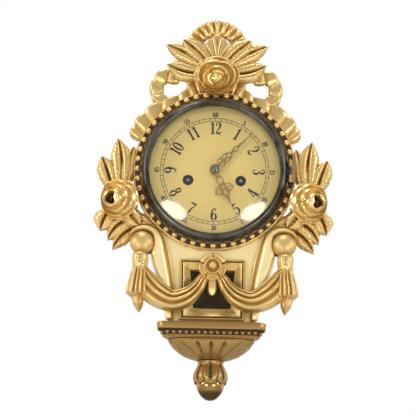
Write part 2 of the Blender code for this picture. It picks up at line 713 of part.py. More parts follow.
# Ribbon paths: angle round the drum from the top, distance out from its side and half width
RIBBON_STRAND = (
    (11.3, 0.0105, 0.0080), (25.9, 0.0087, 0.0086), (39.0, 0.0105, 0.0092), (51.5, 0.0117, 0.0100),
    (60.8, 0.0115, 0.0098), (68.4, 0.0119, 0.0075),
)
RIBBON_LOOP = (
    (34.5, 0.0105, 0.0050), (37.9, 0.0220, 0.0062), (35.0, 0.0337, 0.0066), (29.6, 0.0415, 0.0070),
    (24.6, 0.0378, 0.0070), (20.1, 0.0304, 0.0060),
)


def ribbon_place(sign, angle, out, half):
    """X, Z and half width of a place on one side's ribbon."""
    turn = math.radians(angle)
    reach = DRUM_RADIUS + out
    return sign * reach * math.sin(turn), reach * math.cos(turn), half


def make_crest():
    """Crest: hub, palmette and leaves in one carving, the rose before it and the pleated arch behind."""
    hub = (0, CREST_HUB_Z)
    foliage = turned(((CREST_HUB_RADIUS, FOLIAGE_BACK - 0.0001), (CREST_HUB_RADIUS, CREST_SEAT - 0.002),
                      (CREST_HUB_RADIUS - 0.003, CREST_SEAT)), 16, hub)
    number = 0
    for angle, length, half, bow in CREST_FAN:
        for sign in ((1,) if angle == 90 else (1, -1)):
            way = Vector((sign * math.cos(math.radians(angle)), math.sin(math.radians(angle))))
            base = Vector(hub) + way * 0.009
            tip = Vector(hub) + way * length
            back = FOLIAGE_BACK + 0.00017 * number
            spray = leaf(base, tip, half, back, 0.0085, sign * bow, 0.003)
            foliage = fuse(foliage, spray)
            number += 1
    foliage = cut(foliage, drum_cutter(RING_RADIUS + CLEARANCE))
    piece("crest_foliage", foliage, "gilt_wood", at(0, FOLIAGE_BACK, CREST_HUB_Z))

    flower = rose(0, CREST_HUB_Z - 0.004, CREST_SEAT + CLEARANCE, CREST_ROSE_RADIUS, (0, -1, -0.40))
    piece("crest_rose", flower, "gilt_wood", at(0, CREST_SEAT, CREST_HUB_Z - 0.004))

    ribbon_front = FOLIAGE_BACK - CLEARANCE
    ribbon_back = ribbon_front - RIBBON_HEIGHT
    keys = []
    for step in range(9):
        angle = math.radians(-52 + 284 * step / 8)
        x = ARCH_RADIUS * math.cos(angle)
        z = ARCH_CENTRE + ARCH_RADIUS * math.sin(angle)
        keys.append((x, z, ARCH_HALF_WIDTH, ribbon_back, RIBBON_HEIGHT))
    arch = carved_band(keys, RIBBON_SECTION, 27, CRIMP)
    piece("ribbon_arch", arch, "gilt_wood", at(0, ribbon_front, ARCH_CENTRE))

    for side, sign in (("left", -1), ("right", 1)):
        strand = []
        for place in RIBBON_STRAND:
            strand.append((*ribbon_place(sign, *place), ribbon_back, 0.93 * RIBBON_HEIGHT))
        loop = []
        for place in RIBBON_LOOP:
            loop.append((*ribbon_place(sign, *place), ribbon_back - 0.0006, 0.95 * RIBBON_HEIGHT))
        ribbon = carved_band(strand, RIBBON_SECTION, 13, CRIMP)
        ribbon = fuse(ribbon, carved_band(loop, RIBBON_SECTION, 9, CRIMP))
        ribbon = cut(ribbon, drum_cutter(DRUM_RADIUS + 0.002 + CLEARANCE))
        piece("ribbon_loop_" + side, ribbon, "gilt_wood", at(sign * DRUM_RADIUS, ribbon_front, DRUM_RADIUS))


# Leaves of each side spray, from the rose's centre: base, tip, half width and bow
SIDE_SPRAY = (
    ((0.0005, 0.0087), (0.0037, 0.0767), 0.0105, 0.004), ((0.0070, 0.0087), (0.0225, 0.0547), 0.0090, 0.001),
    ((-0.0050, 0.0067), (-0.0160, 0.0677), 0.0090, -0.002),
    ((0.0070, -0.0073), (0.0210, -0.0363), 0.0105, 0.003), ((-0.0180, -0.0233), (0.0050, -0.0538), 0.0085, 0.006),
)


def make_sides():
    """Side sprays against the drum, each with a rose that turns outward."""
    hub_radius = SIDE_ROSE_OUT + 0.001
    back = FACE - 0.006
    seat = FACE + 0.0046
    for side, sign in (("left", -1), ("right", 1)):
        profile = ((hub_radius, back - 0.0002), (hub_radius, seat - 0.0015), (hub_radius - 0.002, seat))
        spray = turned(profile, 16, (sign * SIDE_ROSE_X, SIDE_ROSE_Z))
        for number, (base, tip, half, bow) in enumerate(SIDE_SPRAY):
            start = (sign * (SIDE_ROSE_X + base[0]), SIDE_ROSE_Z + base[1])
            end = (sign * (SIDE_ROSE_X + tip[0]), SIDE_ROSE_Z + tip[1])
            spray = fuse(spray, leaf(start, end, half, back + 0.00017 * number, 0.0095, sign * bow, 0.002))
        spray = cut(spray, drum_cutter(RING_RADIUS + CLEARANCE))
        piece("side_leaves_" + side, spray, "gilt_wood", at(sign * SIDE_ROSE_X, back, SIDE_ROSE_Z))
        toward = (sign * 0.36, -1, -0.12)
        flower = rose(sign * SIDE_ROSE_X, SIDE_ROSE_Z, seat + CLEARANCE, SIDE_ROSE_RADIUS, toward)
        piece("side_rose_" + side, flower, "gilt_wood", at(sign * SIDE_ROSE_X, seat, SIDE_ROSE_Z))


HINGE_X = BEZEL_RADIUS + HINGE_RADIUS + 0.0006
HINGE_DEPTH = BEZEL_BACK + 0.0054


def barrel_cylinder(radius, z0, z1):
    """A cylinder about the hinge line."""
    rings = []
    for z in (z0, z1):
        rings.append([at(HINGE_X + x, HINGE_DEPTH + y, z) for x, y in circle(radius, 8)])
    return loft(rings)


def make_bezel():
    """Bead ring, hinged bezel, its glass and the ring that holds the glass in."""
    inner = BEZEL_RADIUS - BEZEL_WIDTH + 0.0045
    gap = math.asin((HINGE_HALF + BEAD_RADIUS) / BEAD_CIRCLE)
    rings = []
    for index in range(2 * BEAD_COUNT):
        angle = math.pi * (index + 0.5) / BEAD_COUNT
        beaded = index % 2 and min(angle, math.tau - angle) > gap
        crest = RING_FRONT + (BEAD_RADIUS if beaded else 0.0)
        ring = []
        for radius, depth in (
            (inner, FACE), (RING_RADIUS, FACE), (RING_RADIUS - 0.0008, RING_FRONT), (BEAD_CIRCLE, crest),
            (BEZEL_RADIUS + 0.001, RING_FRONT),
        ):
            ring.append(at(radius * math.cos(angle), depth, radius * math.sin(angle)))
        rings.append(ring)
    ring = loft(rings, cyclic=True)
    piece("bead_ring", ring, "gilt_wood")

    seat = BEZEL_RADIUS - 0.0065
    lip = BEZEL_RADIUS - BEZEL_WIDTH
    bezel = turned_ring((
        (seat, BEZEL_BACK), (BEZEL_RADIUS, BEZEL_BACK),
        (BEZEL_RADIUS - 0.0006, BEZEL_BACK + 0.0062), (BEZEL_RADIUS - 0.0035, BEZEL_FRONT - 0.0014),
        (seat, BEZEL_FRONT), (lip, BEZEL_FRONT - 0.0008), (lip, BEZEL_FRONT - 0.0014),
        (seat, BEZEL_FRONT - 0.0026),
    ))
    knuckle = HINGE_HALF * 0.36
    arm = box(BEZEL_RADIUS - 0.002, HINGE_X, HINGE_DEPTH - 0.0007, HINGE_DEPTH + 0.0009, -knuckle, knuckle)
    bezel = fuse(bezel, arm, barrel_cylinder(HINGE_RADIUS, -knuckle, knuckle))
    bezel = cut(bezel, barrel_cylinder(HINGE_PIN + RUNNING, -2 * HINGE_HALF, 2 * HINGE_HALF))
    tab_back = BEZEL_BACK + 0.0046
    tab = box(-BEZEL_RADIUS - 0.0026, 0.0025 - BEZEL_RADIUS, tab_back, tab_back + 0.0032, -TAB_HALF, TAB_HALF)
    bezel = fuse(bezel, tab)
    pin = at(HINGE_X, HINGE_DEPTH, 0)
    piece("bezel_ring", bezel, "patinated_brass", pin)

    leaf_front = RING_FRONT + CLEARANCE + 0.0014
    leaf_back = RING_FRONT + CLEARANCE
    leaf_plate = box(HINGE_X - 0.0006, RING_RADIUS - 0.001, leaf_back, leaf_front, -HINGE_HALF, HINGE_HALF)
    hold = knuckle + RUNNING
    for low, high in ((-HINGE_HALF, -hold), (hold, HINGE_HALF)):
        web = box(HINGE_X - 0.0002, HINGE_X + 0.0021, leaf_front - 0.0007, HINGE_DEPTH, low, high)
        leaf_plate = fuse(leaf_plate, web, barrel_cylinder(HINGE_RADIUS, low - 0.00005, high + 0.00005))
    leaf_plate = fuse(leaf_plate, barrel_cylinder(HINGE_PIN, -HINGE_HALF - 0.0003, HINGE_HALF + 0.0003))
    piece("hinge_leaf", leaf_plate, "patinated_brass", pin)

    edge = seat - CLEARANCE
    crown = (edge ** 2 + GLASS_RISE ** 2) / (2 * GLASS_RISE)
    profile = []
    for step in range(4):
        r = max(edge * math.sin(math.pi / 2 * step / 3), 0.0008)
        sag = math.sqrt(crown ** 2 - r ** 2) - (crown - GLASS_RISE)
        profile.append((r, GLASS_EDGE + sag - GLASS_THICKNESS))
    profile += [(r, depth + GLASS_THICKNESS) for r, depth in reversed(profile)]
    piece("bezel_glass", turned(profile, ROUND), "glass", pin)

    keeper_front = GLASS_EDGE - GLASS_THICKNESS - CLEARANCE
    keeper = turned_ring((
        (seat - 0.0022, keeper_front - 0.0016), (seat - CLEARANCE, keeper_front - 0.0016),
        (seat - CLEARANCE, keeper_front), (seat - 0.0022, keeper_front),
    ))
    piece("glass_retainer", keeper, "patinated_brass", pin)


PIPE_BORE = 0.0026
PIPE_RADIUS = 0.0036
CANNON_RADIUS = PIPE_BORE - RUNNING
HOUR_HAND_DEPTH = DIAL_FRONT + 0.0084
MINUTE_HAND_DEPTH = HOUR_HAND_DEPTH + 0.0040
BUSH_RADIUS = 0.0054


def make_dial():
    """Dial plate with its two winding bushes."""
    dial = prism(circle(BEZEL_RADIUS - BEZEL_WIDTH + 0.003, ROUND), FACE, DIAL_FRONT)
    dial = cut(dial, prism(circle(PIPE_RADIUS + 0.0008, 10), 0, 0.1))
    for side, arbor in (("left", STRIKE_ARBOR), ("right", TIME_ARBOR)):
        dial = cut(dial, prism(circle(BUSH_RADIUS, 12, arbor), 0, 0.1))
        inner = BUSH_RADIUS - 0.0010
        outer = BUSH_RADIUS - CLEARANCE
        rings = []
        for index in range(12):
            angle = math.tau * index / 12
            way = Vector((math.cos(angle), math.sin(angle)))
            ring = []
            for r, depth in (
                (inner, FACE), (outer, FACE), (outer, DIAL_FRONT + CLEARANCE),
                (BUSH_RADIUS + 0.0007, DIAL_FRONT + CLEARANCE), (inner, DIAL_FRONT + 0.0013),
            ):
                spot = arbor + way * r
                ring.append(at(spot.x, depth, spot.y))
            rings.append(ring)
        piece("winding_bush_" + side, loft(rings, cyclic=True), "dark_bush", at(arbor.x, FACE, arbor.y))
    piece("dial_plate", dial, "dial_gold")


def hand_place(angle, along, across):
    """X and Z of a place on a hand turned clockwise from twelve."""
    sine = math.sin(angle)
    cosine = math.cos(angle)
    return (along * sine + across * cosine, along * cosine - across * sine)


# Serpentine outlines: share of the length and half width, the hub first
MINUTE_FORM = (
    (-0.070, 0.0020), (-0.03, 0.0045), (0.03, 0.0045), (0.085, 0.0016), (0.15, 0.0034), (0.23, 0.0045),
    (0.34, 0.0038), (0.46, 0.0014), (0.55, 0.0024), (0.64, 0.0013), (1.0, 0.0002),
)
MINUTE_HOLES = (
    (0, 0, 0.0023, 0.0023), (0.19, 0, 0.0036, 0.0027), (0.335, 0, 0.0036, 0.0022),
    (0.55, 0, 0.0018, 0.0013),
)
HOUR_FORM = (
    (-0.118, 0.0024), (-0.05, 0.0056), (0.05, 0.0056), (0.14, 0.0018), (0.26, 0.0032), (0.38, 0.0016),
    (0.46, 0.0072), (0.54, 0.0089), (0.62, 0.0076), (0.72, 0.0026), (0.84, 0.0013), (1.0, 0.0002),
)
HOUR_HOLES = (
    (0, 0, 0.0039, 0.0039), (0.265, 0, 0.0027, 0.0018), (0.545, 0.0051, 0.0025, 0.0022),
    (0.545, -0.0051, 0.0025, 0.0022), (0.55, 0, 0.0042, 0.0013),
)


def pierced_hand(name, angle, length, form, holes, depth):
    """A flat pierced hand turned to its time."""
    outline = [hand_place(angle, share * length, half) for share, half in form]
    outline += [hand_place(angle, share * length, -half) for share, half in reversed(form)]
    hand = prism(outline, depth, depth + HAND_THICKNESS)
    for share, across, long, wide in holes:
        hole = []
        for index in range(7):
            turn = math.tau * index / 7
            along = share * length + long * math.cos(turn)
            hole.append(hand_place(angle, along, across + wide * math.sin(turn)))
        hand = cut(hand, prism(hole, depth - 0.005, depth + 0.005))
    return piece(name, hand, "hand_brass", at(0, depth, 0))


def make_hands():
    """Pierced serpentine hands and the nut that holds them, set to the time shown."""
    minute = (MINUTE_ANGLE, MINUTE_HAND_LENGTH, MINUTE_FORM, MINUTE_HOLES, MINUTE_HAND_DEPTH)
    pierced_hand("minute_hand", *minute)
    hour = (HOUR_ANGLE, HOUR_HAND_LENGTH, HOUR_FORM, HOUR_HOLES, HOUR_HAND_DEPTH)
    pierced_hand("hour_hand", *hour)
    back = MINUTE_HAND_DEPTH + HAND_THICKNESS + CLEARANCE
    nut = turned(((0.0044, back), (0.0050, back + 0.0012), (0.0046, back + 0.0028), (0.0030, back + 0.0042),
                  (0.0008, back + 0.0048)), 12)
    nut = cut(nut, prism(circle(0.0014 + CLEARANCE, 8), back - 0.005, back + 0.0030))
    piece("hand_nut", nut, "hand_brass", at(0, back, 0))


WHEEL_TIP = 0.70
WHEEL_ROOT = 1.25
PINION_TIP = 0.45
PINION_ROOT = 1.25


def toothed(teeth, pitch, phase, centre, tip, root):
    """The outline of a wheel with plain pointed teeth; phase is where one tooth points."""
    module = 2 * pitch / teeth
    points = []
    for index in range(teeth):
        for share, radius in ((0.0, pitch + tip * module), (0.5, pitch - root * module)):
            angle = phase + math.tau * (index + share) / teeth
            points.append((centre[0] + radius * math.cos(angle), centre[1] + radius * math.sin(angle)))
    return points


def wheel(teeth, pitch, phase, centre, depth0, depth1):
    return prism(toothed(teeth, pitch, phase, centre, WHEEL_TIP, WHEEL_ROOT), depth0, depth1)


def pinion(teeth, pitch, phase, centre, depth0, depth1):
    return prism(toothed(teeth, pitch, phase, centre, PINION_TIP, PINION_ROOT), depth0, depth1)


def meshed(phase, teeth, other_teeth, centre, other_centre):
    """The phase of a second wheel so that its gap meets the first wheel's tooth."""
    way = Vector(other_centre) - Vector(centre)
    line = math.atan2(way.y, way.x)
    facing = (line - phase) * teeth / math.tau
    return line + math.pi - math.tau * (0.5 - facing) / other_teeth


def pitches(distance, teeth, other_teeth):
    """Pitch radii of two meshed wheels."""
    return distance * teeth / (teeth + other_teeth), distance * other_teeth / (teeth + other_teeth)


def plate(depth, holes):
    """A movement plate with its pivot holes."""
    flat = box(-PLATE_HALF, PLATE_HALF, depth, depth + PLATE_THICKNESS, PLATE_BOTTOM, PLATE_TOP)
    for centre, radius in holes:
        flat = cut(flat, prism(circle(radius, 6, centre), depth - 0.01, depth + PLATE_THICKNESS + 0.01))
    return flat


ARBOR_RADIUS = 0.0030
PILLAR = 0.0026
STUD = 0.0010
SUSPENSION = 0.0012
PILLARS = (
    (PLATE_HALF - 0.004, PLATE_TOP - 0.006), (0.004 - PLATE_HALF, PLATE_TOP - 0.006),
    (PLATE_HALF - 0.004, PLATE_BOTTOM + 0.006), (0.004 - PLATE_HALF, PLATE_BOTTOM + 0.006),
)
COCK_DEPTH = 0.007
EYE_BACK = COCK_DEPTH + 0.0027
CRUTCH_DEPTH = BACK_PLATE_DEPTH - 0.0026


def make_plates():
    """Back plate with pillars and suspension cock, and front plate with posts to the dial."""
    small = PIVOT + RUNNING
    shared = [
        (TIME_ARBOR, ARBOR_RADIUS - 0.0004 + RUNNING), (STRIKE_ARBOR, ARBOR_RADIUS - 0.0004 + RUNNING),
        (THIRD_ARBOR, small), (ESCAPE_ARBOR, small), (STRIKE_WHEEL_ARBOR, small), (HAMMER_ARBOR, small),
    ]
    back = plate(BACK_PLATE_DEPTH, shared + [((0, 0), small), (ANCHOR_ARBOR, SUSPENSION + RUNNING)])
    for place in PILLARS:
        profile = ((PILLAR, BACK_PLATE_DEPTH + 0.001), (PILLAR, FRONT_PLATE_DEPTH - CLEARANCE))
        back = fuse(back, turned(profile, 6, place))
    high = PLATE_TOP - 0.0005
    back = fuse(
        back,
        box(-0.005, 0.005, COCK_DEPTH + 0.0002, BACK_PLATE_DEPTH + 0.001, high - 0.0042, high - 0.0001),
        box(-0.0052, 0.0052, COCK_DEPTH, COCK_DEPTH + 0.0018, ANCHOR_ARBOR.y - 0.004, high),
        turned(((SUSPENSION, COCK_DEPTH + 0.001), (SUSPENSION, EYE_BACK + 0.0026)), 10, ANCHOR_ARBOR),
    )
    piece("movement_back_plate", back, "brass")

    front = plate(FRONT_PLATE_DEPTH, shared + [((0, 0), 0.0016 + RUNNING), (ANCHOR_ARBOR, small)])
    for x, z in PILLARS:
        post = (0.90 * x, 0.86 * z)
        profile = ((PILLAR, FRONT_PLATE_DEPTH + 0.001), (PILLAR, FACE - CLEARANCE))
        front = fuse(front, turned(profile, 6, post))
    profile = ((STUD, FRONT_PLATE_DEPTH + 0.001), (STUD, FRONT_PLATE_FRONT + 0.0074))
    front = fuse(front, turned(profile, 10, MINUTE_ARBOR))
    piece("movement_front_plate", front, "brass")


def make_barrels():
    """Two spring barrels with their great wheels, and the squared arbors that wind them."""
    distance = TIME_ARBOR.length
    great, small = pitches(distance, GREAT_TEETH, CENTRE_PINION)
    drum_back = BACK_PLATE_DEPTH + PLATE_THICKNESS + 0.007
    trains = (("time", TIME_ARBOR, TIME_WHEEL_DEPTH), ("strike", STRIKE_ARBOR, STRIKE_WHEEL_DEPTH))
    for name, arbor, wheel_back in trains:
        barrel = turned((
            (DRUM_BARREL - 0.001, drum_back), (DRUM_BARREL, drum_back + 0.001),
            (DRUM_BARREL, wheel_back - 0.002), (0.010, wheel_back - 0.0015), (0.010, wheel_back + 0.001),
        ), 14, arbor)
        barrel = fuse(barrel, wheel(GREAT_TEETH, great, 0.0, arbor, wheel_back, wheel_back + GREAT_THICKNESS))
        bore = prism(circle(ARBOR_RADIUS + 2 * RUNNING, 8, arbor), drum_back - 0.01, wheel_back + 0.01)
        piece(name + "_barrel", cut(barrel, bore), "brass", at(arbor.x, drum_back, arbor.y))

        thin = ARBOR_RADIUS - 0.0004
        rod = turned((
            (thin, BACK_PLATE_DEPTH - 0.0005), (thin, BACK_PLATE_DEPTH + PLATE_THICKNESS + RUNNING),
            (ARBOR_RADIUS, BACK_PLATE_DEPTH + PLATE_THICKNESS + RUNNING),
            (ARBOR_RADIUS, FRONT_PLATE_DEPTH - RUNNING),
            (thin, FRONT_PLATE_DEPTH - RUNNING), (thin, FRONT_PLATE_FRONT + 0.002),
        ), 8, arbor)
        half = thin * 0.72
        square = ((-half, -half), (half, -half), (half, half), (-half, half))
        outline = [(arbor.x + x, arbor.y + z) for x, z in square]
        rod = fuse(rod, prism(outline, FRONT_PLATE_FRONT, DIAL_FRONT + 0.0016))
        piece(name + "_winding_arbor", rod, "steel", at(arbor.x, BACK_PLATE_DEPTH, arbor.y))
    return small


def arbor_rod(centre, shoulder0, shoulder1, thick):
    """A wheel's arbor, its thin pivots running in both plates."""
    return turned((
        (PIVOT, BACK_PLATE_DEPTH + 0.0002), (PIVOT, shoulder0), (thick, shoulder0 + 0.0002),
        (thick, shoulder1 - 0.0002), (PIVOT, shoulder1), (PIVOT, FRONT_PLATE_FRONT - 0.0002),
    ), 6, centre)


def make_trains():
    """Going train, motion work and strike wheel, every pair in mesh at rest."""
    centre_small = make_barrels()
    inside0 = BACK_PLATE_DEPTH + PLATE_THICKNESS + RUNNING
    inside1 = FRONT_PLATE_DEPTH - RUNNING

    centre = (0.0, 0.0)
    leaf_phase = meshed(0.0, GREAT_TEETH, CENTRE_PINION, TIME_ARBOR, centre)
    cannon, minute_pitch = pitches(CENTRE_TO_MINUTE, CANNON_TEETH, MINUTE_TEETH)
    minute_small, hour_pitch = pitches(CENTRE_TO_MINUTE, MINUTE_PINION, HOUR_TEETH)
    centre_pitch, third_small = pitches(CENTRE_TO_THIRD, CENTRE_TEETH, THIRD_PINION)
    third_pitch, escape_small = pitches(THIRD_TO_ESCAPE, THIRD_TEETH, ESCAPE_PINION)
    motion = FRONT_PLATE_FRONT + 0.0018
    seat = MINUTE_HAND_DEPTH - CLEARANCE
    rod = turned((
        (PIVOT, BACK_PLATE_DEPTH + 0.0002), (PIVOT, inside0), (0.0012, inside0 + 0.0002), (0.0012, inside1),
        (0.0016, inside1), (0.0016, FRONT_PLATE_FRONT + RUNNING),
        (CANNON_RADIUS, FRONT_PLATE_FRONT + RUNNING), (CANNON_RADIUS, seat), (0.0017, seat),
        (0.0017, seat + HAND_THICKNESS + 0.0002),
        (0.0012, seat + HAND_THICKNESS + 0.0004), (0.0012, seat + HAND_THICKNESS + 0.0028),
    ), 7)
    wheel_depth = FRONT_PLATE_DEPTH - 0.0032
    rod = fuse(
        rod,
        pinion(CENTRE_PINION, centre_small, leaf_phase, centre,
               TIME_WHEEL_DEPTH - 0.0007, TIME_WHEEL_DEPTH + 0.0029),
        wheel(CENTRE_TEETH, centre_pitch, 0.0, centre, wheel_depth, wheel_depth + 0.0016),
        pinion(CANNON_TEETH, cannon, 0.0, centre, motion, motion + 0.0024),
    )
    piece("centre_wheel", rod, "brass", at(0, motion, 0))

    phase = meshed(0.0, CANNON_TEETH, MINUTE_TEETH, centre, MINUTE_ARBOR)
    idler = wheel(MINUTE_TEETH, minute_pitch, phase, MINUTE_ARBOR, motion + 0.0003, motion + 0.0017)
    leaves = pinion(MINUTE_PINION, minute_small, phase, MINUTE_ARBOR, motion + 0.0012, motion + 0.0050)
    idler = fuse(idler, leaves)
    idler = cut(idler, prism(circle(STUD + RUNNING, 10, MINUTE_ARBOR), motion - 0.01, motion + 0.01))
    piece("minute_wheel", idler, "brass", at(MINUTE_ARBOR.x, motion, MINUTE_ARBOR.y))

    hour_phase = meshed(phase, MINUTE_PINION, HOUR_TEETH, MINUTE_ARBOR, centre)
    hour = wheel(HOUR_TEETH, hour_pitch, hour_phase, centre, motion + 0.0030, motion + 0.0044)
    stop = HOUR_HAND_DEPTH - CLEARANCE
    pipe = turned(((PIPE_RADIUS, motion + 0.0036), (PIPE_RADIUS, stop), (PIPE_RADIUS - 0.0004, stop),
                   (PIPE_RADIUS - 0.0004, stop + HAND_THICKNESS + 0.0014)), 12)
    hour = cut(fuse(hour, pipe), prism(circle(PIPE_BORE, 12), motion, stop + 0.01))
    piece("hour_wheel", hour, "brass", at(0, motion, 0))

    phase = meshed(0.0, CENTRE_TEETH, THIRD_PINION, centre, THIRD_ARBOR)
    third_depth = THIRD_WHEEL_DEPTH
    rod = arbor_rod(THIRD_ARBOR, inside0, inside1, 0.0012)
    rod = fuse(
        rod,
        pinion(THIRD_PINION, third_small, phase, THIRD_ARBOR, wheel_depth - 0.0006, wheel_depth + 0.0021),
        wheel(THIRD_TEETH, third_pitch, phase, THIRD_ARBOR, third_depth, third_depth + 0.0011),
    )
    piece("third_wheel", rod, "brass", at(THIRD_ARBOR.x, third_depth, THIRD_ARBOR.y))

    phase = meshed(phase, THIRD_TEETH, ESCAPE_PINION, THIRD_ARBOR, ESCAPE_ARBOR)
    rod = arbor_rod(ESCAPE_ARBOR, inside0, inside1, 0.0011)
    escape_depth = BACK_PLATE_DEPTH + PLATE_THICKNESS + 0.004
    rim = []
    for index in range(ESCAPE_TEETH):
        for share, radius in ((0, ESCAPE_RADIUS), (0.22, ESCAPE_RADIUS - 0.0013)):
            angle = math.tau * (index + share) / ESCAPE_TEETH
            rim.append((ESCAPE_ARBOR.x + radius * math.cos(angle), ESCAPE_ARBOR.y + radius * math.sin(angle)))
    rod = fuse(
        rod,
        pinion(ESCAPE_PINION, escape_small, phase, ESCAPE_ARBOR, third_depth - 0.0010, third_depth + 0.0022),
        prism(rim, escape_depth, escape_depth + 0.0008),
    )
    piece("escape_wheel", rod, "brass", at(ESCAPE_ARBOR.x, escape_depth, ESCAPE_ARBOR.y))

    phase = meshed(0.0, GREAT_TEETH, CENTRE_PINION, STRIKE_ARBOR, STRIKE_WHEEL_ARBOR)
    rod = arbor_rod(STRIKE_WHEEL_ARBOR, inside0, inside1, 0.0012)
    pin_depth = PIN_WHEEL_DEPTH
    rod = fuse(
        rod,
        pinion(CENTRE_PINION, centre_small, phase, STRIKE_WHEEL_ARBOR,
               STRIKE_WHEEL_DEPTH - 0.0007, STRIKE_WHEEL_DEPTH + 0.0027),
        prism(circle(0.0098, 16, STRIKE_WHEEL_ARBOR), pin_depth, pin_depth + 0.0012),
    )
    for index in range(8):
        angle = math.tau * index / 8
        spot = STRIKE_WHEEL_ARBOR + Vector((math.cos(angle), math.sin(angle))) * 0.0082
        rod = fuse(rod, prism(circle(0.0007, 4, spot), pin_depth + 0.0006, pin_depth + 0.0034))
    piece("strike_wheel", rod, "brass", at(STRIKE_WHEEL_ARBOR.x, pin_depth, STRIKE_WHEEL_ARBOR.y))
    return escape_depth


def make_escapement(escape_depth):
    """Anchor with its crutch, and the pendulum that hangs on the same line."""
    up = ANCHOR_ARBOR.y
    reach = ESCAPE_RADIUS * 0.875
    low = ESCAPE_ARBOR.y + ESCAPE_RADIUS * 0.75
    inner = ESCAPE_RADIUS * 0.68
    outline = (
        (-0.0026, up), (-0.0070, up - 0.0016), (-reach - 0.0013, low + 0.0006), (-reach, low),
        (-inner, low + 0.0028), (0, up - 0.0024), (inner, low + 0.0028), (reach, low),
        (reach + 0.0013, low + 0.0006), (0.0070, up - 0.0016), (0.0026, up), (0, up + 0.0026),
    )
    rod = turned((
        (SUSPENSION, CRUTCH_DEPTH - 0.0001), (SUSPENSION, FRONT_PLATE_DEPTH - RUNNING - 0.0002),
        (PIVOT, FRONT_PLATE_DEPTH - RUNNING), (PIVOT, FRONT_PLATE_FRONT - 0.0002),
    ), 10, ANCHOR_ARBOR)
    fork = up - 0.026
    front = CRUTCH_DEPTH + 0.0014
    prong = ROD_HALF + RUNNING
    anchor = fuse(
        rod,
        prism(outline, escape_depth - 0.0002, escape_depth + 0.0010),
        box(-0.0015, 0.0015, CRUTCH_DEPTH, front, fork, up + 0.0018),
        box(-prong - 0.0014, prong + 0.0014, CRUTCH_DEPTH + 0.0001, front + 0.0001,
            fork - 0.0012, fork + 0.0012),
        box(-prong - 0.0013, -prong, EYE_BACK, front - 0.0003, fork - 0.0011, fork + 0.0011),
        box(prong, prong + 0.0013, EYE_BACK, front - 0.0003, fork - 0.0011, fork + 0.0011),
    )
    piece("pallet_anchor", anchor, "steel", at(0, CRUTCH_DEPTH, up))

    bob_z = up - PENDULUM_LENGTH
    eye = turned(((0.0036, EYE_BACK), (0.0036, EYE_BACK + 0.0018)), 14, ANCHOR_ARBOR)
    rod = box(-ROD_HALF, ROD_HALF, EYE_BACK + 0.0001, EYE_BACK + 0.0017, bob_z, up)
    bore = prism(circle(SUSPENSION + RUNNING, 12, ANCHOR_ARBOR), EYE_BACK - 0.01, EYE_BACK + 0.01)
    swing = cut(fuse(eye, rod), bore)
    middle = EYE_BACK + 0.0009
    half_form = ((1, 0.0006), (0.8, 0.0026), (0.3, 0.0042))
    profile = [(BOB_RADIUS * share, middle - rise) for share, rise in reversed(half_form)]
    profile += [(BOB_RADIUS * share, middle + rise) for share, rise in half_form]
    bob = turned(profile, 16, (0, bob_z))
    piece("pendulum", fuse(swing, bob), "brass", at(0, EYE_BACK, up))


GONG_ROD_X = -0.035
GONG_DEPTH = 0.030


def make_strike():
    """Hammer hung from the plates, and the gong rods held in a block on the trunk's side."""
    inside0 = BACK_PLATE_DEPTH + PLATE_THICKNESS + RUNNING
    inside1 = FRONT_PLATE_DEPTH - RUNNING
    x, z = HAMMER_ARBOR
    head_z = z - 0.045
    hammer = fuse(
        arbor_rod(HAMMER_ARBOR, inside0, inside1, 0.0013),
        box(x - 0.0011, x + 0.0011, GONG_DEPTH - 0.0011, GONG_DEPTH + 0.0011, head_z, z + 0.0004),
        box(x - 0.0050, x + 0.0050, GONG_DEPTH - 0.0042, GONG_DEPTH + 0.0042,
            head_z - 0.005, head_z + 0.0055),
    )
    piece("hammer", hammer, "brass", at(x, GONG_DEPTH, z))

    inner = TRUNK_TOP_HALF - WALL
    slope = (TRUNK_TOP_HALF - TRUNK_BOTTOM_HALF) / 0.105
    top = -0.071
    bottom = -0.083
    outline = (
        (-inner + CLEARANCE + slope * 0.015, bottom), (GONG_ROD_X + 0.004, bottom), (GONG_ROD_X + 0.004, top),
        (-inner + CLEARANCE + slope * 0.004, top),
    )
    gong = prism(outline, GONG_DEPTH - 0.006, GONG_DEPTH + 0.013)
    for depth, length in ((GONG_DEPTH, 0.082), (GONG_DEPTH + 0.007, 0.070)):
        rings = []
        for level in (bottom + 0.004, bottom - length):
            rings.append([at(GONG_ROD_X + a, depth + b, level) for a, b in circle(0.0013, 8)])
        gong = fuse(gong, loft(rings))
    piece("gong", gong, "steel", at(GONG_ROD_X, GONG_DEPTH, bottom))


def main():
    for existing in list(bpy.data.objects):
        bpy.data.objects.remove(existing)
    make_case()
    make_window_frame()
    make_scrolls()
    make_rosette()
    make_drapery()
    make_base()
    make_crest()
    make_sides()
    make_bezel()
    make_dial()
    make_hands()
    make_plates()
    make_escapement(make_trains())
    make_strike()


main()
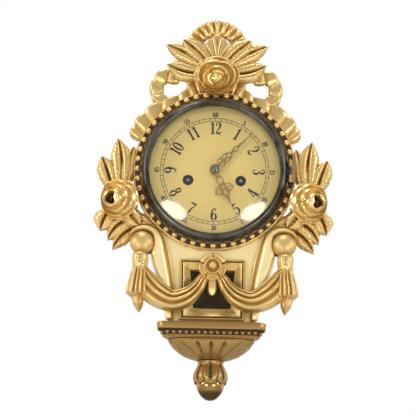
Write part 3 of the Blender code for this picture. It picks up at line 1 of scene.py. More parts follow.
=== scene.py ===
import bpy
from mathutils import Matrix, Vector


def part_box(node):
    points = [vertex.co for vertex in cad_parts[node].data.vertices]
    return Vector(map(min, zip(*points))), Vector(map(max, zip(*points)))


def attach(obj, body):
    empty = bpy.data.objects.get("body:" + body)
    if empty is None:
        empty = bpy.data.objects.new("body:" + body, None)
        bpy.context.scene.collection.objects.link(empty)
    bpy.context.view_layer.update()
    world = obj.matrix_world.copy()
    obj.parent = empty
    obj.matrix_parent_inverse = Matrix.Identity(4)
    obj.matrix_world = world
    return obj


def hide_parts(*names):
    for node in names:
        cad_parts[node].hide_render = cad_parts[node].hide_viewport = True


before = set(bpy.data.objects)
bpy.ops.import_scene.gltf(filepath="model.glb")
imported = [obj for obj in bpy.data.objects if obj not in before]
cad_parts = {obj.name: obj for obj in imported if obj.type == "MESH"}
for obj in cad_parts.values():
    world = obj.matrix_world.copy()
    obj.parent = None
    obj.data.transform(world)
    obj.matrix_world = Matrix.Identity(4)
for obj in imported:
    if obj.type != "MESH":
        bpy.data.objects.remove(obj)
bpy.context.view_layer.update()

import math

import bpy
import numpy as np
from bpy.props import FloatProperty, FloatVectorProperty, IntProperty, PointerProperty
from mathutils import Matrix, Vector
from mathutils.bvhtree import BVHTree

bl_info = {
    "name": "Carved wall clock",
    "version": (1, 0, 0),
    "blender": (4, 5, 0),
    "location": "3D View > Sidebar > Clock",
    "description": "Models the carving, dial and finishes of a gilded wall clock on its packed frame",
    "category": "Object",
}

SIDES = (("left", -1), ("right", 1))

# Depths from the wall, along -Y, that the frame's pieces share
FACE = 0.0683
DIAL_FRONT = 0.0695
RING_FRONT = 0.0745
BEZEL_BACK = 0.0739
BEZEL_FRONT = 0.0849
GLASS_EDGE = 0.0820
FOLIAGE_BACK = 0.0663
CREST_SEAT = 0.0782
SIDE_SEAT = 0.0732
SPRAY_BACK = 0.0623
RIBBON_BACK = 0.0575
SWAG_BACK = 0.0801

# Places in front view
RING_RADIUS = 0.0951
CARVING_EDGE = RING_RADIUS + 0.0002
DRUM_RADIUS = 0.092
CREST_HUB = (0.0, 0.1163)
CREST_ROSE = (0.0, 0.1106)
SIDE_ROSE = (0.1110, -0.0387)
VOLUTE = (0.083, -0.089)
ROSETTE_Z = -0.116
SHELF_TOP = -0.1817
BOWL_TOP = -0.2000
FINIAL_TOP = -0.2204
FINIAL_DEPTH = 0.034


def size_of(name, words, default):
    """A length that a user may change."""
    return FloatProperty(name=name, description=words, default=default, unit="LENGTH", min=0.0, precision=4)


def colour_of(name, words, default):
    """A colour that a user may change."""
    return FloatVectorProperty(name=name, description=words, default=default, subtype="COLOR", size=3,
                               min=0.0, max=1.0)


class ClockSizes(bpy.types.PropertyGroup):
    bezel_radius: size_of("Bezel radius", "Outer radius of the bezel", 0.086)
    bead_circle: size_of("Bead circle", "Radius of the circle the beads stand on", 0.0904)
    bead_radius: size_of("Bead radius", "Radius of one bead round the bezel", 0.0038)
    bead_count: IntProperty(name="Beads", description="Beads round the bezel, the hinge's place counted", default=48,
                            min=12)
    glass_rise: size_of("Glass rise", "Height of the convex glass over its edge", 0.017)
    hour_circle: size_of("Hour circle", "Radius of the circle of hour figures", 0.0520)
    hour_height: size_of("Hour figures", "Height of an hour figure", 0.0142)
    minute_circle: size_of("Minute circle", "Radius of the circle of minute figures", 0.0682)
    minute_height: size_of("Minute figures", "Height of a minute figure", 0.0056)
    track_inner: size_of("Track inside", "Inner radius of the minute track", 0.0605)
    track_outer: size_of("Track outside", "Outer radius of the minute track", 0.0640)
    crest_rose: size_of("Crest rose", "Radius of the rose over the dial", 0.026)
    side_rose: size_of("Side rose", "Radius of the roses beside the dial", 0.024)
    minute_hand: size_of("Minute hand", "Length of the minute hand", 0.0625)
    hour_hand: size_of("Hour hand", "Length of the hour hand", 0.046)


class ClockColours(bpy.types.PropertyGroup):
    # The gold colours are spread by openness: the lighter golds also paint light on open places, and the amber and
    # recess colours paint shade in closed-in places and cuts, together with the toning.
    gold_light: colour_of("Burnished gold", "Gold where it is rubbed and open", (0.80, 0.57, 0.225))
    gold_pale: colour_of("Pale gold", "Burnished gold of the arms and the board", (1.0, 0.81, 0.41))
    gold_mid: colour_of("Gold", "Gold of the carved surfaces", (0.61, 0.365, 0.10))
    gold_amber: colour_of("Amber shade", "Gold where the carving turns in", (0.42, 0.195, 0.035))
    gold_recess: colour_of("Toning", "Brown toning that fills the deep cuts", (0.062, 0.022, 0.006))
    base_gold: colour_of("Base gold", "Duller gold of the base", (0.30, 0.18, 0.058))
    bole: colour_of("Bole", "Red clay ground that shows between the beads", (0.070, 0.034, 0.020))
    dial: colour_of("Dial", "Satin gilding of the dial", (0.80, 0.565, 0.19))
    figures: colour_of("Figures", "Black of the figures and tracks", (0.022, 0.020, 0.016))
    bronze: colour_of("Bezel bronze", "Patinated bronze of the bezel", (0.105, 0.098, 0.082))
    brass: colour_of("Brass", "Brass of the movement", (0.66, 0.47, 0.19))
    hand: colour_of("Hands", "Gilt brass of the hands", (0.62, 0.43, 0.16))
    steel: colour_of("Steel", "Steel of screws and arbors", (0.42, 0.42, 0.41))
    case: colour_of("Case wood", "Gilded and toned wood of the case's sides", (0.30, 0.17, 0.055))
    back: colour_of("Back wood", "Bare wood of the back", (0.33, 0.20, 0.10))


class Value:
    """A shader socket that takes part in plain arithmetic."""

    def __init__(self, finish, socket):
        self.finish = finish
        self.socket = socket

    def math(self, operation, first, second=0.0):
        return self.finish.add("ShaderNodeMath", {"operation": operation}, {0: first, 1: second})

    def __add__(self, other):
        return self.math("ADD", self, other)

    def __sub__(self, other):
        return self.math("SUBTRACT", self, other)

    def __mul__(self, other):
        return self.math("MULTIPLY", self, other)

    def __pow__(self, other):
        return self.math("POWER", self, other)

    def __rsub__(self, other):
        return self.math("SUBTRACT", other, self)

    __radd__ = __add__
    __rmul__ = __mul__

    def held(self, low, high):
        """The value kept between two numbers."""
        return self.math("MINIMUM", self.math("MAXIMUM", self, low), high)


class Finish:
    """The nodes of one material."""

    def __init__(self, name):
        self.material = bpy.data.materials.new(name)
        self.material.use_nodes = True
        self.tree = self.material.node_tree
        self.tree.nodes.clear()
        self.place = self.add("ShaderNodeTexCoord", output="Object")

    def add(self, kind, settings=None, inputs=None, output=0):
        """Add a node: settings first, then its sockets' values or links; gives one output."""
        node = self.tree.nodes.new(kind)
        for key, value in (settings or {}).items():
            if key == "stops":
                ramp = node.color_ramp.elements
                while len(ramp) < len(value):
                    ramp.new(0.5)
                for element, (position, colour) in zip(ramp, value):
                    element.position = position
                    element.color = (*colour, 1.0)
            else:
                setattr(node, key, value)
        for key, value in (inputs or {}).items():
            if isinstance(value, Value):
                self.tree.links.new(value.socket, node.inputs[key])
            else:
                node.inputs[key].default_value = value
        return Value(self, node.outputs[output])

    def noise(self, scale, detail=3.0, stretch=None):
        """Soft noise on object coordinates, in features per metre."""
        place = self.place
        if stretch:
            place = self.add("ShaderNodeMapping", None, {"Vector": place, "Scale": stretch})
        return self.add("ShaderNodeTexNoise", None, {"Vector": place, "Scale": scale, "Detail": detail})

    def attribute(self, name):
        return self.add("ShaderNodeAttribute", {"attribute_name": name}, output="Fac")

    def ramp(self, value, stops):
        return self.add("ShaderNodeValToRGB", {"stops": stops}, {"Fac": value})

    def mix(self, factor, first, second):
        """A colour between two colours."""
        sides = [(*side, 1.0) if isinstance(side, tuple) else side for side in (first, second)]
        return self.add("ShaderNodeMix", {"data_type": "RGBA"}, {0: factor, 6: sides[0], 7: sides[1]}, 2)

    def bump(self, height, distance, strength=1.0):
        return self.add("ShaderNodeBump", None, {"Height": height, "Distance": distance, "Strength": strength})

    def surface(self, colour, roughness, metallic, normal=None, **constants):
        """Close the graph with a principled surface."""
        sockets = {"Base Color": colour, "Roughness": roughness, "Metallic": metallic}
        if normal:
            sockets["Normal"] = normal
        sockets.update({key.replace("_", " "): value for key, value in constants.items()})
        return self.closed(self.add("ShaderNodeBsdfPrincipled", None, sockets))

    def closed(self, shader):
        node = self.tree.nodes.new("ShaderNodeOutputMaterial")
        self.tree.links.new(shader.socket, node.inputs["Surface"])
        return self.material


def shades(colour, factor):
    """A colour made lighter or darker."""
    return tuple(min(channel * factor, 1.0) for channel in colour)


def colours():
    """The colours as plain tuples, by name."""
    group = bpy.context.scene.clock_colours
    return {name: tuple(getattr(group, name)) for name in ClockColours.__annotations__}


def gilding(name, light, mid, amber, recess, dull=0.0, metal=0.85, coat=0.30, least=0.2):
    """Water gilding over carved wood: painted shade and toning darken it in the cuts and closed-in places, and it is
    lighter where it stands open, partly burnished and partly painted light.
    """
    finish = Finish(name)
    # How open each place is, from ray casting: low values paint shade into the colour, together with the toning.
    opened = finish.attribute("toning")
    cloud = finish.noise(38.0, 4.0)
    speck = finish.noise(620.0, 3.0)
    leaf = finish.noise(150.0, 2.0)
    # Painted shade: openness plus noise runs the ramp from the recess and amber colours in closed-in places to
    # burnished gold where the carving is open.
    depth = opened + (cloud - 0.5) * 0.30 + (speck - 0.5) * 0.10
    colour = finish.ramp(depth, ((0.05, recess), (0.20, amber), (0.44, mid), (0.90, light)))
    worn = ((leaf - 0.66) * 9.0).held(0.0, 1.0) * (opened - 0.35).held(0.0, 1.0)
    colour = finish.mix(worn * 0.35, colour, shades(amber, 0.8))
    roughness = 0.33 + dull + (1.0 - opened) * 0.26 + (speck - 0.5) * 0.12
    metallic = (opened * 0.8 + 0.2).held(least, metal)
    relief = speck * 0.5 + leaf
    return finish.surface(colour, roughness.held(0.16, 0.8), metallic, finish.bump(relief, 0.0002, 0.18),
                          Coat_Weight=coat, Coat_Roughness=0.22)


def satin_metal(name, colour, roughness, metallic=0.95):
    """Plain metal with a little grain and tarnish."""
    finish = Finish(name)
    cloud = finish.noise(70.0, 4.0)
    fine = finish.noise(1200.0, 3.0)
    colour = finish.mix(((cloud - 0.42) * 3.0).held(0.0, 1.0) * 0.5, colour, shades(colour, 0.55))
    return finish.surface(colour, roughness + (fine - 0.5) * 0.14 + (cloud - 0.5) * 0.10, metallic,
                          finish.bump(fine, 0.0001, 0.25))


def patinated_bronze(name, colour):
    """Dark bronze with light and brown clouds."""
    finish = Finish(name)
    cloud = finish.noise(55.0, 4.0)
    fine = finish.noise(900.0, 3.0)
    tone = finish.mix(((cloud - 0.38) * 3.2).held(0.0, 1.0), shades(colour, 0.62), shades(colour, 1.5))
    tone = finish.mix(((fine - 0.60) * 6.0).held(0.0, 1.0) * 0.4, tone, (0.16, 0.10, 0.05))
    return finish.surface(tone, 0.30 + (cloud - 0.5) * 0.16 + (fine - 0.5) * 0.1, 0.92, finish.bump(fine, 0.0001, 0.3))


def wood(name, colour, gloss):
    """Wood with a straight grain along Z, and one flat colour painted where it lines the inside of the case, standing
    in for the shade there.
    """
    finish = Finish(name)
    grain = finish.noise(90.0, 5.0, (6.0, 6.0, 0.35))
    pore = finish.noise(420.0, 3.0, (5.0, 5.0, 0.2))
    tone = finish.ramp(grain + (pore - 0.5) * 0.3, ((0.30, shades(colour, 0.55)), (0.72, shades(colour, 1.35))))
    across = finish.add("ShaderNodeSeparateXYZ", None, {0: finish.place}, "X")
    depth = 0.0 - finish.add("ShaderNodeSeparateXYZ", None, {0: finish.place}, "Y")
    height = finish.add("ShaderNodeSeparateXYZ", None, {0: finish.place}, "Z")
    # Painted shade: inside the case's walls, behind its front and below the dial, the grain gives way to one flat
    # colour.
    wall = (height + 0.18) * 0.07 + 0.0455
    inside = ((wall - across.math("ABSOLUTE", across)) * 2000.0).held(0.0, 1.0)
    inside = inside * ((depth - 0.004) * 2000.0).held(0.0, 1.0)
    inside = inside * ((-0.078 - height) * 2000.0).held(0.0, 1.0)
    tone = finish.mix(inside, tone, (0.300, 0.236, 0.138))
    return finish.surface(tone, gloss + (pore - 0.5) * 0.2, 0.0, finish.bump(pore, 0.0003, 0.4))


def dial_gilding(name, colour):
    """Fired gilding of the dial: satin, with painted shade of the bezel making it a little darker and greener toward
    its rim.
    """
    finish = Finish(name)
    radius = finish.add("ShaderNodeVectorMath", {"operation": "LENGTH"}, {
        0: finish.add("ShaderNodeMapping", None, {"Vector": finish.place, "Scale": (1.0, 0.0, 1.0)}),
    }, "Value")
    cloud = finish.noise(26.0, 4.0)
    fine = finish.noise(1500.0, 2.0)
    # Painted shade: the dial darkens toward its rim as under the bezel's shadow.
    rim = ((radius - 0.030) * 20.0).held(0.0, 1.0)
    tone = finish.mix(rim * 0.6, shades(colour, 1.06), (colour[0] * 0.72, colour[1] * 0.74, colour[2] * 0.66))
    tone = finish.mix(((cloud - 0.45) * 2.5).held(0.0, 1.0) * 0.22, tone, shades(colour, 0.72))
    return finish.surface(tone, 0.40 + (fine - 0.5) * 0.14, 0.30, finish.bump(fine, 0.00006, 0.3))


def bole_ground(name, colour):
    """The toned red ground in the bead channel."""
    finish = Finish(name)
    cloud = finish.noise(300.0, 4.0)
    tone = finish.ramp(cloud, ((0.3, shades(colour, 0.55)), (0.75, shades(colour, 1.9))))
    return finish.surface(tone, 0.75 + (cloud - 0.5) * 0.3, 0.1, finish.bump(cloud, 0.0003, 0.5),
                          Specular_IOR_Level=0.2)


def paint(name, colour):
    """Black paint of the figures, a little thin in places."""
    finish = Finish(name)
    cloud = finish.noise(500.0, 3.0)
    tone = finish.mix(((cloud - 0.55) * 4.0).held(0.0, 1.0) * 0.5, colour, shades(colour, 3.2))
    return finish.surface(tone, 0.42 + (cloud - 0.5) * 0.2, 0.0)


def clear_glass(name):
    """Clear convex glass: what is behind shows through, and lamps show on it."""
    finish = Finish(name)
    through = finish.add("ShaderNodeBsdfTransparent", None, {"Color": (0.975, 0.985, 0.975, 1.0)})
    cloud = finish.noise(60.0, 3.0)
    gloss = finish.add("ShaderNodeBsdfGlossy", None, {
        "Color": (1.0, 1.0, 1.0, 1.0), "Roughness": 0.08 + cloud * 0.04})
    glance = finish.add("ShaderNodeLayerWeight", None, {"Blend": 0.5}, "Facing")
    share = 0.04 + 0.96 * glance ** 5.0
    return finish.closed(finish.add("ShaderNodeMixShader", None, {0: share, 1: through, 2: gloss}))


FINISHES = {}


def finishes():
    """Every finish of the clock by its name, made once."""
    if FINISHES:
        return FINISHES
    c = colours()
    base = c["base_gold"]
    FINISHES.update({
        "gilt_wood": gilding("gilt_wood", c["gold_light"], c["gold_mid"], c["gold_amber"], c["gold_recess"]),
        "gilt_wood_dark": gilding("gilt_wood_dark", shades(base, 1.55), base, shades(base, 0.62),
                                  shades(c["gold_recess"], 0.9), 0.02, 0.90, 0.0),
        # Roses: a glossier copy whose burnished colour is 6 % lighter, a painted highlight.
        "gilt_bright": gilding("gilt_bright", shades(c["gold_light"], 1.06), c["gold_mid"], c["gold_amber"],
                               c["gold_recess"], -0.09, 0.88),
        "gilt_pale": gilding("gilt_pale", c["gold_pale"], (0.76, 0.53, 0.185), c["gold_mid"], c["gold_recess"],
                             0.0, 0.55),
        "gilt_satin": gilding("gilt_satin", shades(c["gold_light"], 0.95), c["gold_mid"], c["gold_amber"],
                              c["gold_recess"], 0.15),
        # The bud: a glossy copy whose dark olive recess colour paints a dark reflection into its lower part.
        "gilt_bud": gilding("gilt_bud", shades(base, 1.7), shades(base, 1.2), shades(base, 0.6),
                            (0.080, 0.054, 0.017), -0.22, 0.95, 0.0, 0.9),
        "case_wood": wood("case_wood", c["case"], 0.5),
        "back_wood": wood("back_wood", c["back"], 0.72),
        "patinated_brass": patinated_bronze("patinated_brass", c["bronze"]),
        "dial_gold": dial_gilding("dial_gold", c["dial"]),
        "dark_bush": satin_metal("dark_bush", (0.035, 0.03, 0.026), 0.4),
        "shaded_brass": satin_metal("shaded_brass", (0.315, 0.250, 0.150), 0.7, metallic=0.1),
        "hand_brass": satin_metal("hand_brass", c["hand"], 0.30),
        "nut_steel": satin_metal("nut_steel", (0.25, 0.23, 0.20), 0.28),
        "brass": satin_metal("brass", c["brass"], 0.30),
        "steel": satin_metal("steel", c["steel"], 0.32),
        "glass": clear_glass("glass"),
        "bole": bole_ground("bole", c["bole"]),
        "figure_black": paint("figure_black", c["figures"]),
    })
    return FINISHES


def smooth(x, low, high):
    """Ease from 0 at low to 1 at high."""
    t = np.clip((x - low) / (high - low), 0.0, 1.0)
    return t * t * (3 - 2 * t)


def curve(keys, t):
    """A smooth curve through rows of numbers, at shares t of the way along."""
    keys = np.asarray(keys, float)
    last = len(keys) - 1
    s = np.clip(np.asarray(t, float) * last, 0, last - 1e-9)
    i = s.astype(int)
    f = (s - i)[..., None]
    p = np.vstack([2 * keys[0] - keys[1], keys, 2 * keys[-1] - keys[-2]])
    a, b, c, d = p[i], p[i + 1], p[i + 2], p[i + 3]
    return 0.5 * (2 * b + (c - a) * f + (2 * a - 5 * b + 4 * c - d) * f ** 2 + (3 * b - a - 3 * c + d) * f ** 3)


def only(*objects):
    """Select these objects alone, the first one active."""
    bpy.ops.object.select_all(action="DESELECT")
    for thing in objects:
        thing.select_set(True)
    bpy.context.view_layer.objects.active = objects[0]


def mended(obj, angle=40.0):
    """Close seams and poles, turn the faces outward and shade the piece."""
    only(obj)
    bpy.ops.object.mode_set(mode="EDIT")
    bpy.ops.mesh.select_all(action="SELECT")
    bpy.ops.mesh.remove_doubles(threshold=2e-7)
    bpy.ops.mesh.dissolve_degenerate(threshold=1e-7)
    bpy.ops.mesh.select_all(action="SELECT")
    bpy.ops.mesh.normals_make_consistent(inside=False)
    bpy.ops.object.mode_set(mode="OBJECT")
    bpy.ops.object.shade_smooth_by_angle(angle=math.radians(angle))
    return obj


def formed(name, along, across, place, angle=40.0):
    """A grid whose points are laid out by place(u, v) as x, depth and z, with its seams closed.

    A fourth row from place marks where painted shade and toning darken the gilding, mostly in its cuts.
    """
    bpy.ops.object.select_all(action="DESELECT")
    bpy.ops.mesh.primitive_grid_add(x_subdivisions=along, y_subdivisions=across, size=1.0)
    obj = bpy.context.object
    obj.name = name
    obj.data.name = name
    points = np.empty(len(obj.data.vertices) * 3)
    obj.data.vertices.foreach_get("co", points)
    points = points.reshape(-1, 3)
    x, depth, z, *cut = place(np.clip(points[:, 0] + 0.5, 0, 1), np.clip(points[:, 1] + 0.5, 0, 1))
    if cut:
        layer = obj.data.attributes.new("cut", "FLOAT", "POINT")
        layer.data.foreach_set("value", (cut[0] + 0 * points[:, 0]).astype(np.float32))
    laid = np.column_stack([x + 0 * depth, -depth - 0 * x, z + 0 * x])
    obj.data.vertices.foreach_set("co", laid.ravel())
    obj.data.update()
    return mended(obj, angle)


def joined(name, objects):
    """Several bodies as one piece."""
    only(*objects)
    if len(objects) > 1:
        bpy.ops.object.join()
    obj = bpy.context.view_layer.objects.active
    obj.name = name
    obj.data.name = name
    return obj


def copied(model, moves):
    """Copies of a model, each with its own mesh, moved by matrices; the model goes."""
    copies = []
    for move in moves:
        twin = model.copy()
        twin.data = model.data.copy()
        twin.data.transform(move)
        bpy.context.scene.collection.objects.link(twin)
        copies.append(twin)
    bpy.data.objects.remove(model)
    return copies


def turned(name, profile, steps=96, centre=(0.0, 0.0), smooth_rows=0, angle=40.0):
    """A profile of radius and depth turned about an axis that points at the viewer."""
    profile = np.asarray(profile, float)
    rows = smooth_rows or len(profile) - 1

    def place(u, v):
        if smooth_rows:
            r, depth = curve(profile, v).T
        else:
            at_row = v * (len(profile) - 1)
            r = np.interp(at_row, np.arange(len(profile)), profile[:, 0])
            depth = np.interp(at_row, np.arange(len(profile)), profile[:, 1])
        turn = u * math.tau
        return centre[0] + r * np.cos(turn), depth, centre[1] + r * np.sin(turn)

    return formed(name, steps, rows, place, angle)


def rounded_ends(u, length):
    """Draws a band's section in to a point at both ends, round in between."""
    near = np.clip(u / length, 0, 1)
    far = np.clip((1 - u) / length, 0, 1)
    return np.sqrt(np.clip(near * (2 - near), 0, 1)) * np.sqrt(np.clip(far * (2 - far), 0, 1))


def band(name, keys, section, along, across, sign=1, ends=0.04, angle=40.0):
    """A carved band along a path of x, z, half width, back depth and height.

    The section gives across and rise from u along and v around; sign -1 mirrors the band.
    """
    def place(u, v):
        x, z, half, back, height = curve(keys, u).T
        step = 1e-3
        run = curve(keys, np.minimum(u + step, 1))[:, :2] - curve(keys, np.maximum(u - step, 0))[:, :2]
        run /= np.linalg.norm(run, axis=1)[:, None]
        reach, rise, *cut = section(u, v)
        cap = rounded_ends(u, ends)
        reach = reach * half * cap
        middle = back + height * 0.3
        depth = middle + (back + height * rise - middle) * cap
        return sign * (x - run[:, 1] * reach), depth, z + run[:, 0] * reach, *cut

    return formed(name, along, across, place, angle)


def faced(v, front=0.8):
    """Splits a section into its front, from -1 to 1, and its flat back."""
    ahead = v <= front
    across = np.where(ahead, 2 * v / front - 1, 1 - 2 * (v - front) / (1 - front))
    return ahead, across


def dressed(obj, body, slot, nodes=(), material=None):
    """Give a finished piece its finish, its body and the nodes it stands for."""
    if not obj.data.materials:
        obj.data.materials.append(finishes()[material or slot])
    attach(obj, body)
    if nodes:
        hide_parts(*nodes)
    return obj


LEAF_WIDTH = ((0.30,), (0.60,), (0.92,), (1.04,), (0.80,), (0.0,))


def leaf(name, base, tip, half, back, height, bow=0.0, lift=0.0, widths=LEAF_WIDTH, veins=8.0, jag=0.10):
    """A carved leaf: two swelling halves with slanting veins beside a deep midrib, notched at its edges."""
    base = np.array(base, float)
    span = np.array(tip, float) - base
    side = np.array([-span[1], span[0]]) / np.linalg.norm(span)

    def place(u, v):
        ahead, s = faced(v, 0.84)
        away = np.abs(s)
        width = curve(widths, u)[:, 0].clip(0.0)
        notch = (u * veins * 0.5) % 1.0
        width = width * (1 - jag * (1 - notch) * smooth(u, 0.30, 0.45) * (1 - smooth(u, 0.86, 1.0)))
        middle = base[None] + span[None] * u[:, None] + side[None] * (bow * 4 * u * (1 - u))[:, None]
        spot = middle + side[None] * (s * half * width)[:, None]
        swell = 1 - np.abs(2 * away ** 0.80 - 1.0) ** 2.2
        vein = np.abs(np.sin(math.pi * (u * veins * 1.7 - away * 2.2))) ** 0.7 - 0.6
        slit = np.exp(-(away / 0.085) ** 2) * (1 - smooth(u, 0.66, 0.84))
        rise = 0.24 + 0.76 * swell + 0.10 * vein * swell * smooth(u, 0.08, 0.25) - 0.20 * slit
        full = height * (1 - 0.40 * u) * smooth(width, 0.0, 0.25)
        floor = back + lift * u * u
        depth = np.where(ahead, floor + full * np.maximum(rise, 0.06), floor)
        # The midrib's slit is marked dark: painted shade in it.
        return spot[:, 0], depth, spot[:, 1], 0.85 * slit * ahead

    return formed(name, 60, 38, place, 32.0)


def facing(toward):
    """Across, up and outward directions of a flower that faces a given way."""
    out = np.array(toward, float)
    out /= np.linalg.norm(out)
    across = np.cross(out, (0.0, 0.0, 1.0))
    across /= np.linalg.norm(across)
    return across, np.cross(across, out), out


def rose_form(r, turn, rows, bud, hollow):
    """Height and painted shade marks of a carved rose in shares of its radius: petals that overlap round a bud or a
    hollow.
    """
    height = 0.02 - 0.22 * r ** 2
    for row, (count, rim, top, drop, first) in enumerate(rows):
        for index in range(count):
            wobble = math.sin(7.3 * index + 2.1 * row)
            middle = math.radians(first + 360.0 * index / count + 6.0 * wobble)
            off = ((turn - middle + math.pi) % math.tau - math.pi) / (1.30 * math.pi / count)
            away = np.abs(off)
            edge = rim * (1 + 0.03 * wobble - 0.17 * away ** 2.4)
            crown = top + 0.03 * wobble + 0.085 * off - 0.10 * away ** 2.4
            inside = np.clip(edge - r, 0, None)
            beyond = np.clip(r - edge, 0, None)
            face = crown - drop * (1 - np.exp(-(inside / 0.085) ** 1.3)) - 8.0 * beyond ** 2 - 1.2 * beyond
            face = face - 0.9 * smooth(away, 0.88, 1.0)
            height = np.maximum(height, np.where(away < 1, face, -1.0))
    cut = np.zeros_like(r)
    if bud:
        wide, top = bud
        step = (1.2 * r / wide - turn / math.tau) % 1.0
        ball = top - 0.26 * (r / wide) ** 2.4 - 0.08 * (1 - step) ** 1.6 * smooth(r, 0.03, 0.14)
        height = np.maximum(height, np.where(r < 1.2 * wide, ball, -1.0))
        # The bud's spiral slit is marked dark: painted shade.
        cut = 0.45 * smooth(step, 0.16, 0.0) * smooth(r, 0.03, 0.08) * (r < wide)
    if hollow:
        wide, deep = hollow
        reach = wide * (1 + 0.16 * np.cos(3 * turn + 0.6))
        hole = np.exp(-(np.hypot(r * np.cos(turn), 0.80 * r * np.sin(turn)) / reach) ** 6)
        height = height - deep * hole
        # The hollow is marked dark: painted shade in it.
        cut = np.clip(3.0 * hole, 0, 0.92)
    return height, cut


def rose(name, x, z, seat, radius, toward, rows, bud=None, hollow=None, shift=(0.0, 0.0), mirror=False, lean=None,
         squash=1.0):
    """An open rose on a rounded base, its middle moved off its axis."""
    rest = facing(toward)
    across, up, out = facing(lean or toward)
    frame3 = (across, up * squash, out)
    fall = max(rest[2][1] * -0.26 + 0.55 * math.hypot(rest[0][1], rest[1][1]),
               rest[2][1] * -0.12 + 0.86 * math.hypot(rest[0][1], rest[1][1]))
    centre = np.array((x, -seat - fall * radius, z))
    ends = np.array((0.0, 0.35, 0.70, 1.0))

    def place(u, v):
        front = v <= 0.87
        turn = u * math.tau
        seen = math.pi - turn if mirror else turn
        t = np.clip((v - 0.87) / 0.13, 0, 1)
        r = np.where(front, 1.05 * np.clip(v / 0.87, 0, 1) ** 0.9, np.interp(t, ends, (1.05, 0.86, 0.52, 0.0)))
        height, cut = rose_form(np.where(front, r, 1.05), seen, rows, bud, hollow)
        height = np.where(front, height, height * np.clip(1 - t / 0.35, 0, 1)
                          + np.interp(t, ends, (0.0, -0.13, -0.24, -0.24)))
        slide = np.where(front, 1 - smooth(r, 0.0, 1.05), 0.0)
        flat = [r * way + slide * move for way, move in zip((np.cos(turn), np.sin(turn)), shift)]
        spot = centre + radius * (height[:, None] * out + flat[0][:, None] * across + flat[1][:, None] * frame3[1])
        return spot[:, 0], -spot[:, 1], spot[:, 2], cut * front

    return formed(name, 216, 104, place, 50.0)


# Turns of petals from outside to inside: count, rim, rim height, drop inside the rim and first angle, in shares
CREST_TURNS = ((5, 0.98, 0.08, 0.16, 90), (3, 0.81, 0.33, 0.20, 30), (3, 0.56, 0.53, 0.20, 95))
SIDE_TURNS = ((5, 0.98, 0.07, 0.16, 70), (3, 0.86, 0.29, 0.17, 60), (3, 0.66, 0.46, 0.16, 115),
              (2, 0.42, 0.54, 0.06, 150))

# Leaves of the crest: angle above level, length from the hub, half width and bow
CREST_FAN = (
    (12, 0.0610, 0.0128, -0.004), (30.5, 0.0715, 0.0118, 0.004), (46, 0.0600, 0.0120, 0.003),
)
# Leaves of a side spray, from the rose: base, tip, half width and bow
SIDE_SPRAY = (
    ((-0.0120, -0.0100), (-0.0470, -0.0440), 0.0130, 0.0), ((-0.0400, -0.0280), (0.0068, -0.0580), 0.0118, 0.010),
    ((-0.0230, -0.0200), (0.0125, -0.0470), 0.0115, 0.008),
    ((-0.0050, 0.0067), (-0.0160, 0.0677), 0.0100, -0.002), ((0.0070, 0.0087), (0.0225, 0.0547), 0.0122, 0.001),
    ((0.0005, 0.0087), (0.0037, 0.0767), 0.0132, 0.004), ((0.0070, -0.0073), (0.0210, -0.0363), 0.0125, 0.003),
    ((-0.0040, -0.0060), (-0.0250, -0.0300), 0.0125, 0.0),
)
# Ribbons: angle round the drum from the top, distance out from its side and half width
RIBBON_STRAND = (
    (1.5, 0.0100, 0.0078), (8.0, 0.0135, 0.0113), (13.5, 0.0137, 0.0115), (19.0, 0.0092, 0.0070),
    (27.0, 0.0068, 0.0060), (39.0, 0.0100, 0.0086), (51.5, 0.0117, 0.0100),
    (60.8, 0.0115, 0.0098), (68.4, 0.0119, 0.0075),
)
RIBBON_LOOP = (
    (34.5, 0.0105, 0.0056), (37.0, 0.0220, 0.0080), (34.3, 0.0327, 0.0086), (29.5, 0.0400, 0.0090),
    (25.0, 0.0364, 0.0088), (20.5, 0.0297, 0.0076),
)


def pleats(count, deep, sharp=0.75):
    """A ribbon's section, crimped along its run into a number of soft pleats."""
    def section(u, v):
        ahead, s = faced(v, 0.8)
        lean = 0.10 * s
        wave = np.abs(np.sin(math.pi * (count * u + lean * count * 0.2))) ** sharp
        edge = (1 - np.abs(s) ** 6)
        rise = 0.30 + (0.70 - deep) * edge ** 0.5 + deep * wave * edge
        return s * (1 + 0.22 * (wave - 0.6)), np.where(ahead, rise, 0.0)
    return section


def ribbon_keys(places, back, height):
    keys = []
    for angle, out, half in places:
        turn = math.radians(angle)
        reach = DRUM_RADIUS + out
        keys.append((reach * math.sin(turn), reach * math.cos(turn), half, back, height))
    return keys


def make_palmette():
    """The fluted shell over the crest rose, following the arch at a small distance."""
    foot, middle, reach = 0.1265, 0.150, 0.0162

    def place(u, v):
        ahead = v <= 0.8
        t = np.where(ahead, v / 0.8, (1 - v) / 0.2)
        turn = math.radians(24) + math.radians(132) * u
        rise = middle - foot
        far = rise * np.sin(turn) + np.sqrt(np.maximum(reach ** 2 - (rise * np.cos(turn)) ** 2, 1e-6))
        lean = np.abs(turn - math.pi / 2)
        far = far * (1 + 0.07 * np.exp(-(lean / 0.12) ** 2) - 0.05 * np.exp(-((lean - 0.36) / 0.07) ** 2))
        flute = np.abs(np.cos(math.pi * 3.5 * (turn - math.pi / 2) / math.radians(66))) ** 0.6
        slit = np.exp(-(lean / 0.035) ** 2) * smooth(t, 0.5, 0.62) * (1 - smooth(t, 0.82, 0.92))
        height = 0.0034 + 0.0050 * np.sqrt(np.clip(1 - (2 * t - 1.05) ** 2, 0, 1)) * (0.55 + 0.45 * flute)
        height = height * (1 - smooth(t, 0.93, 1.0) * 0.7) - 0.002 * slit
        depth = np.where(ahead, FOLIAGE_BACK + height, FOLIAGE_BACK)
        # The middle slit is marked dark: painted shade in it.
        return t * far * np.cos(turn), depth, foot + t * far * np.sin(turn), 0.9 * slit * ahead

    return formed("palmette", 84, 40, place, 45.0)


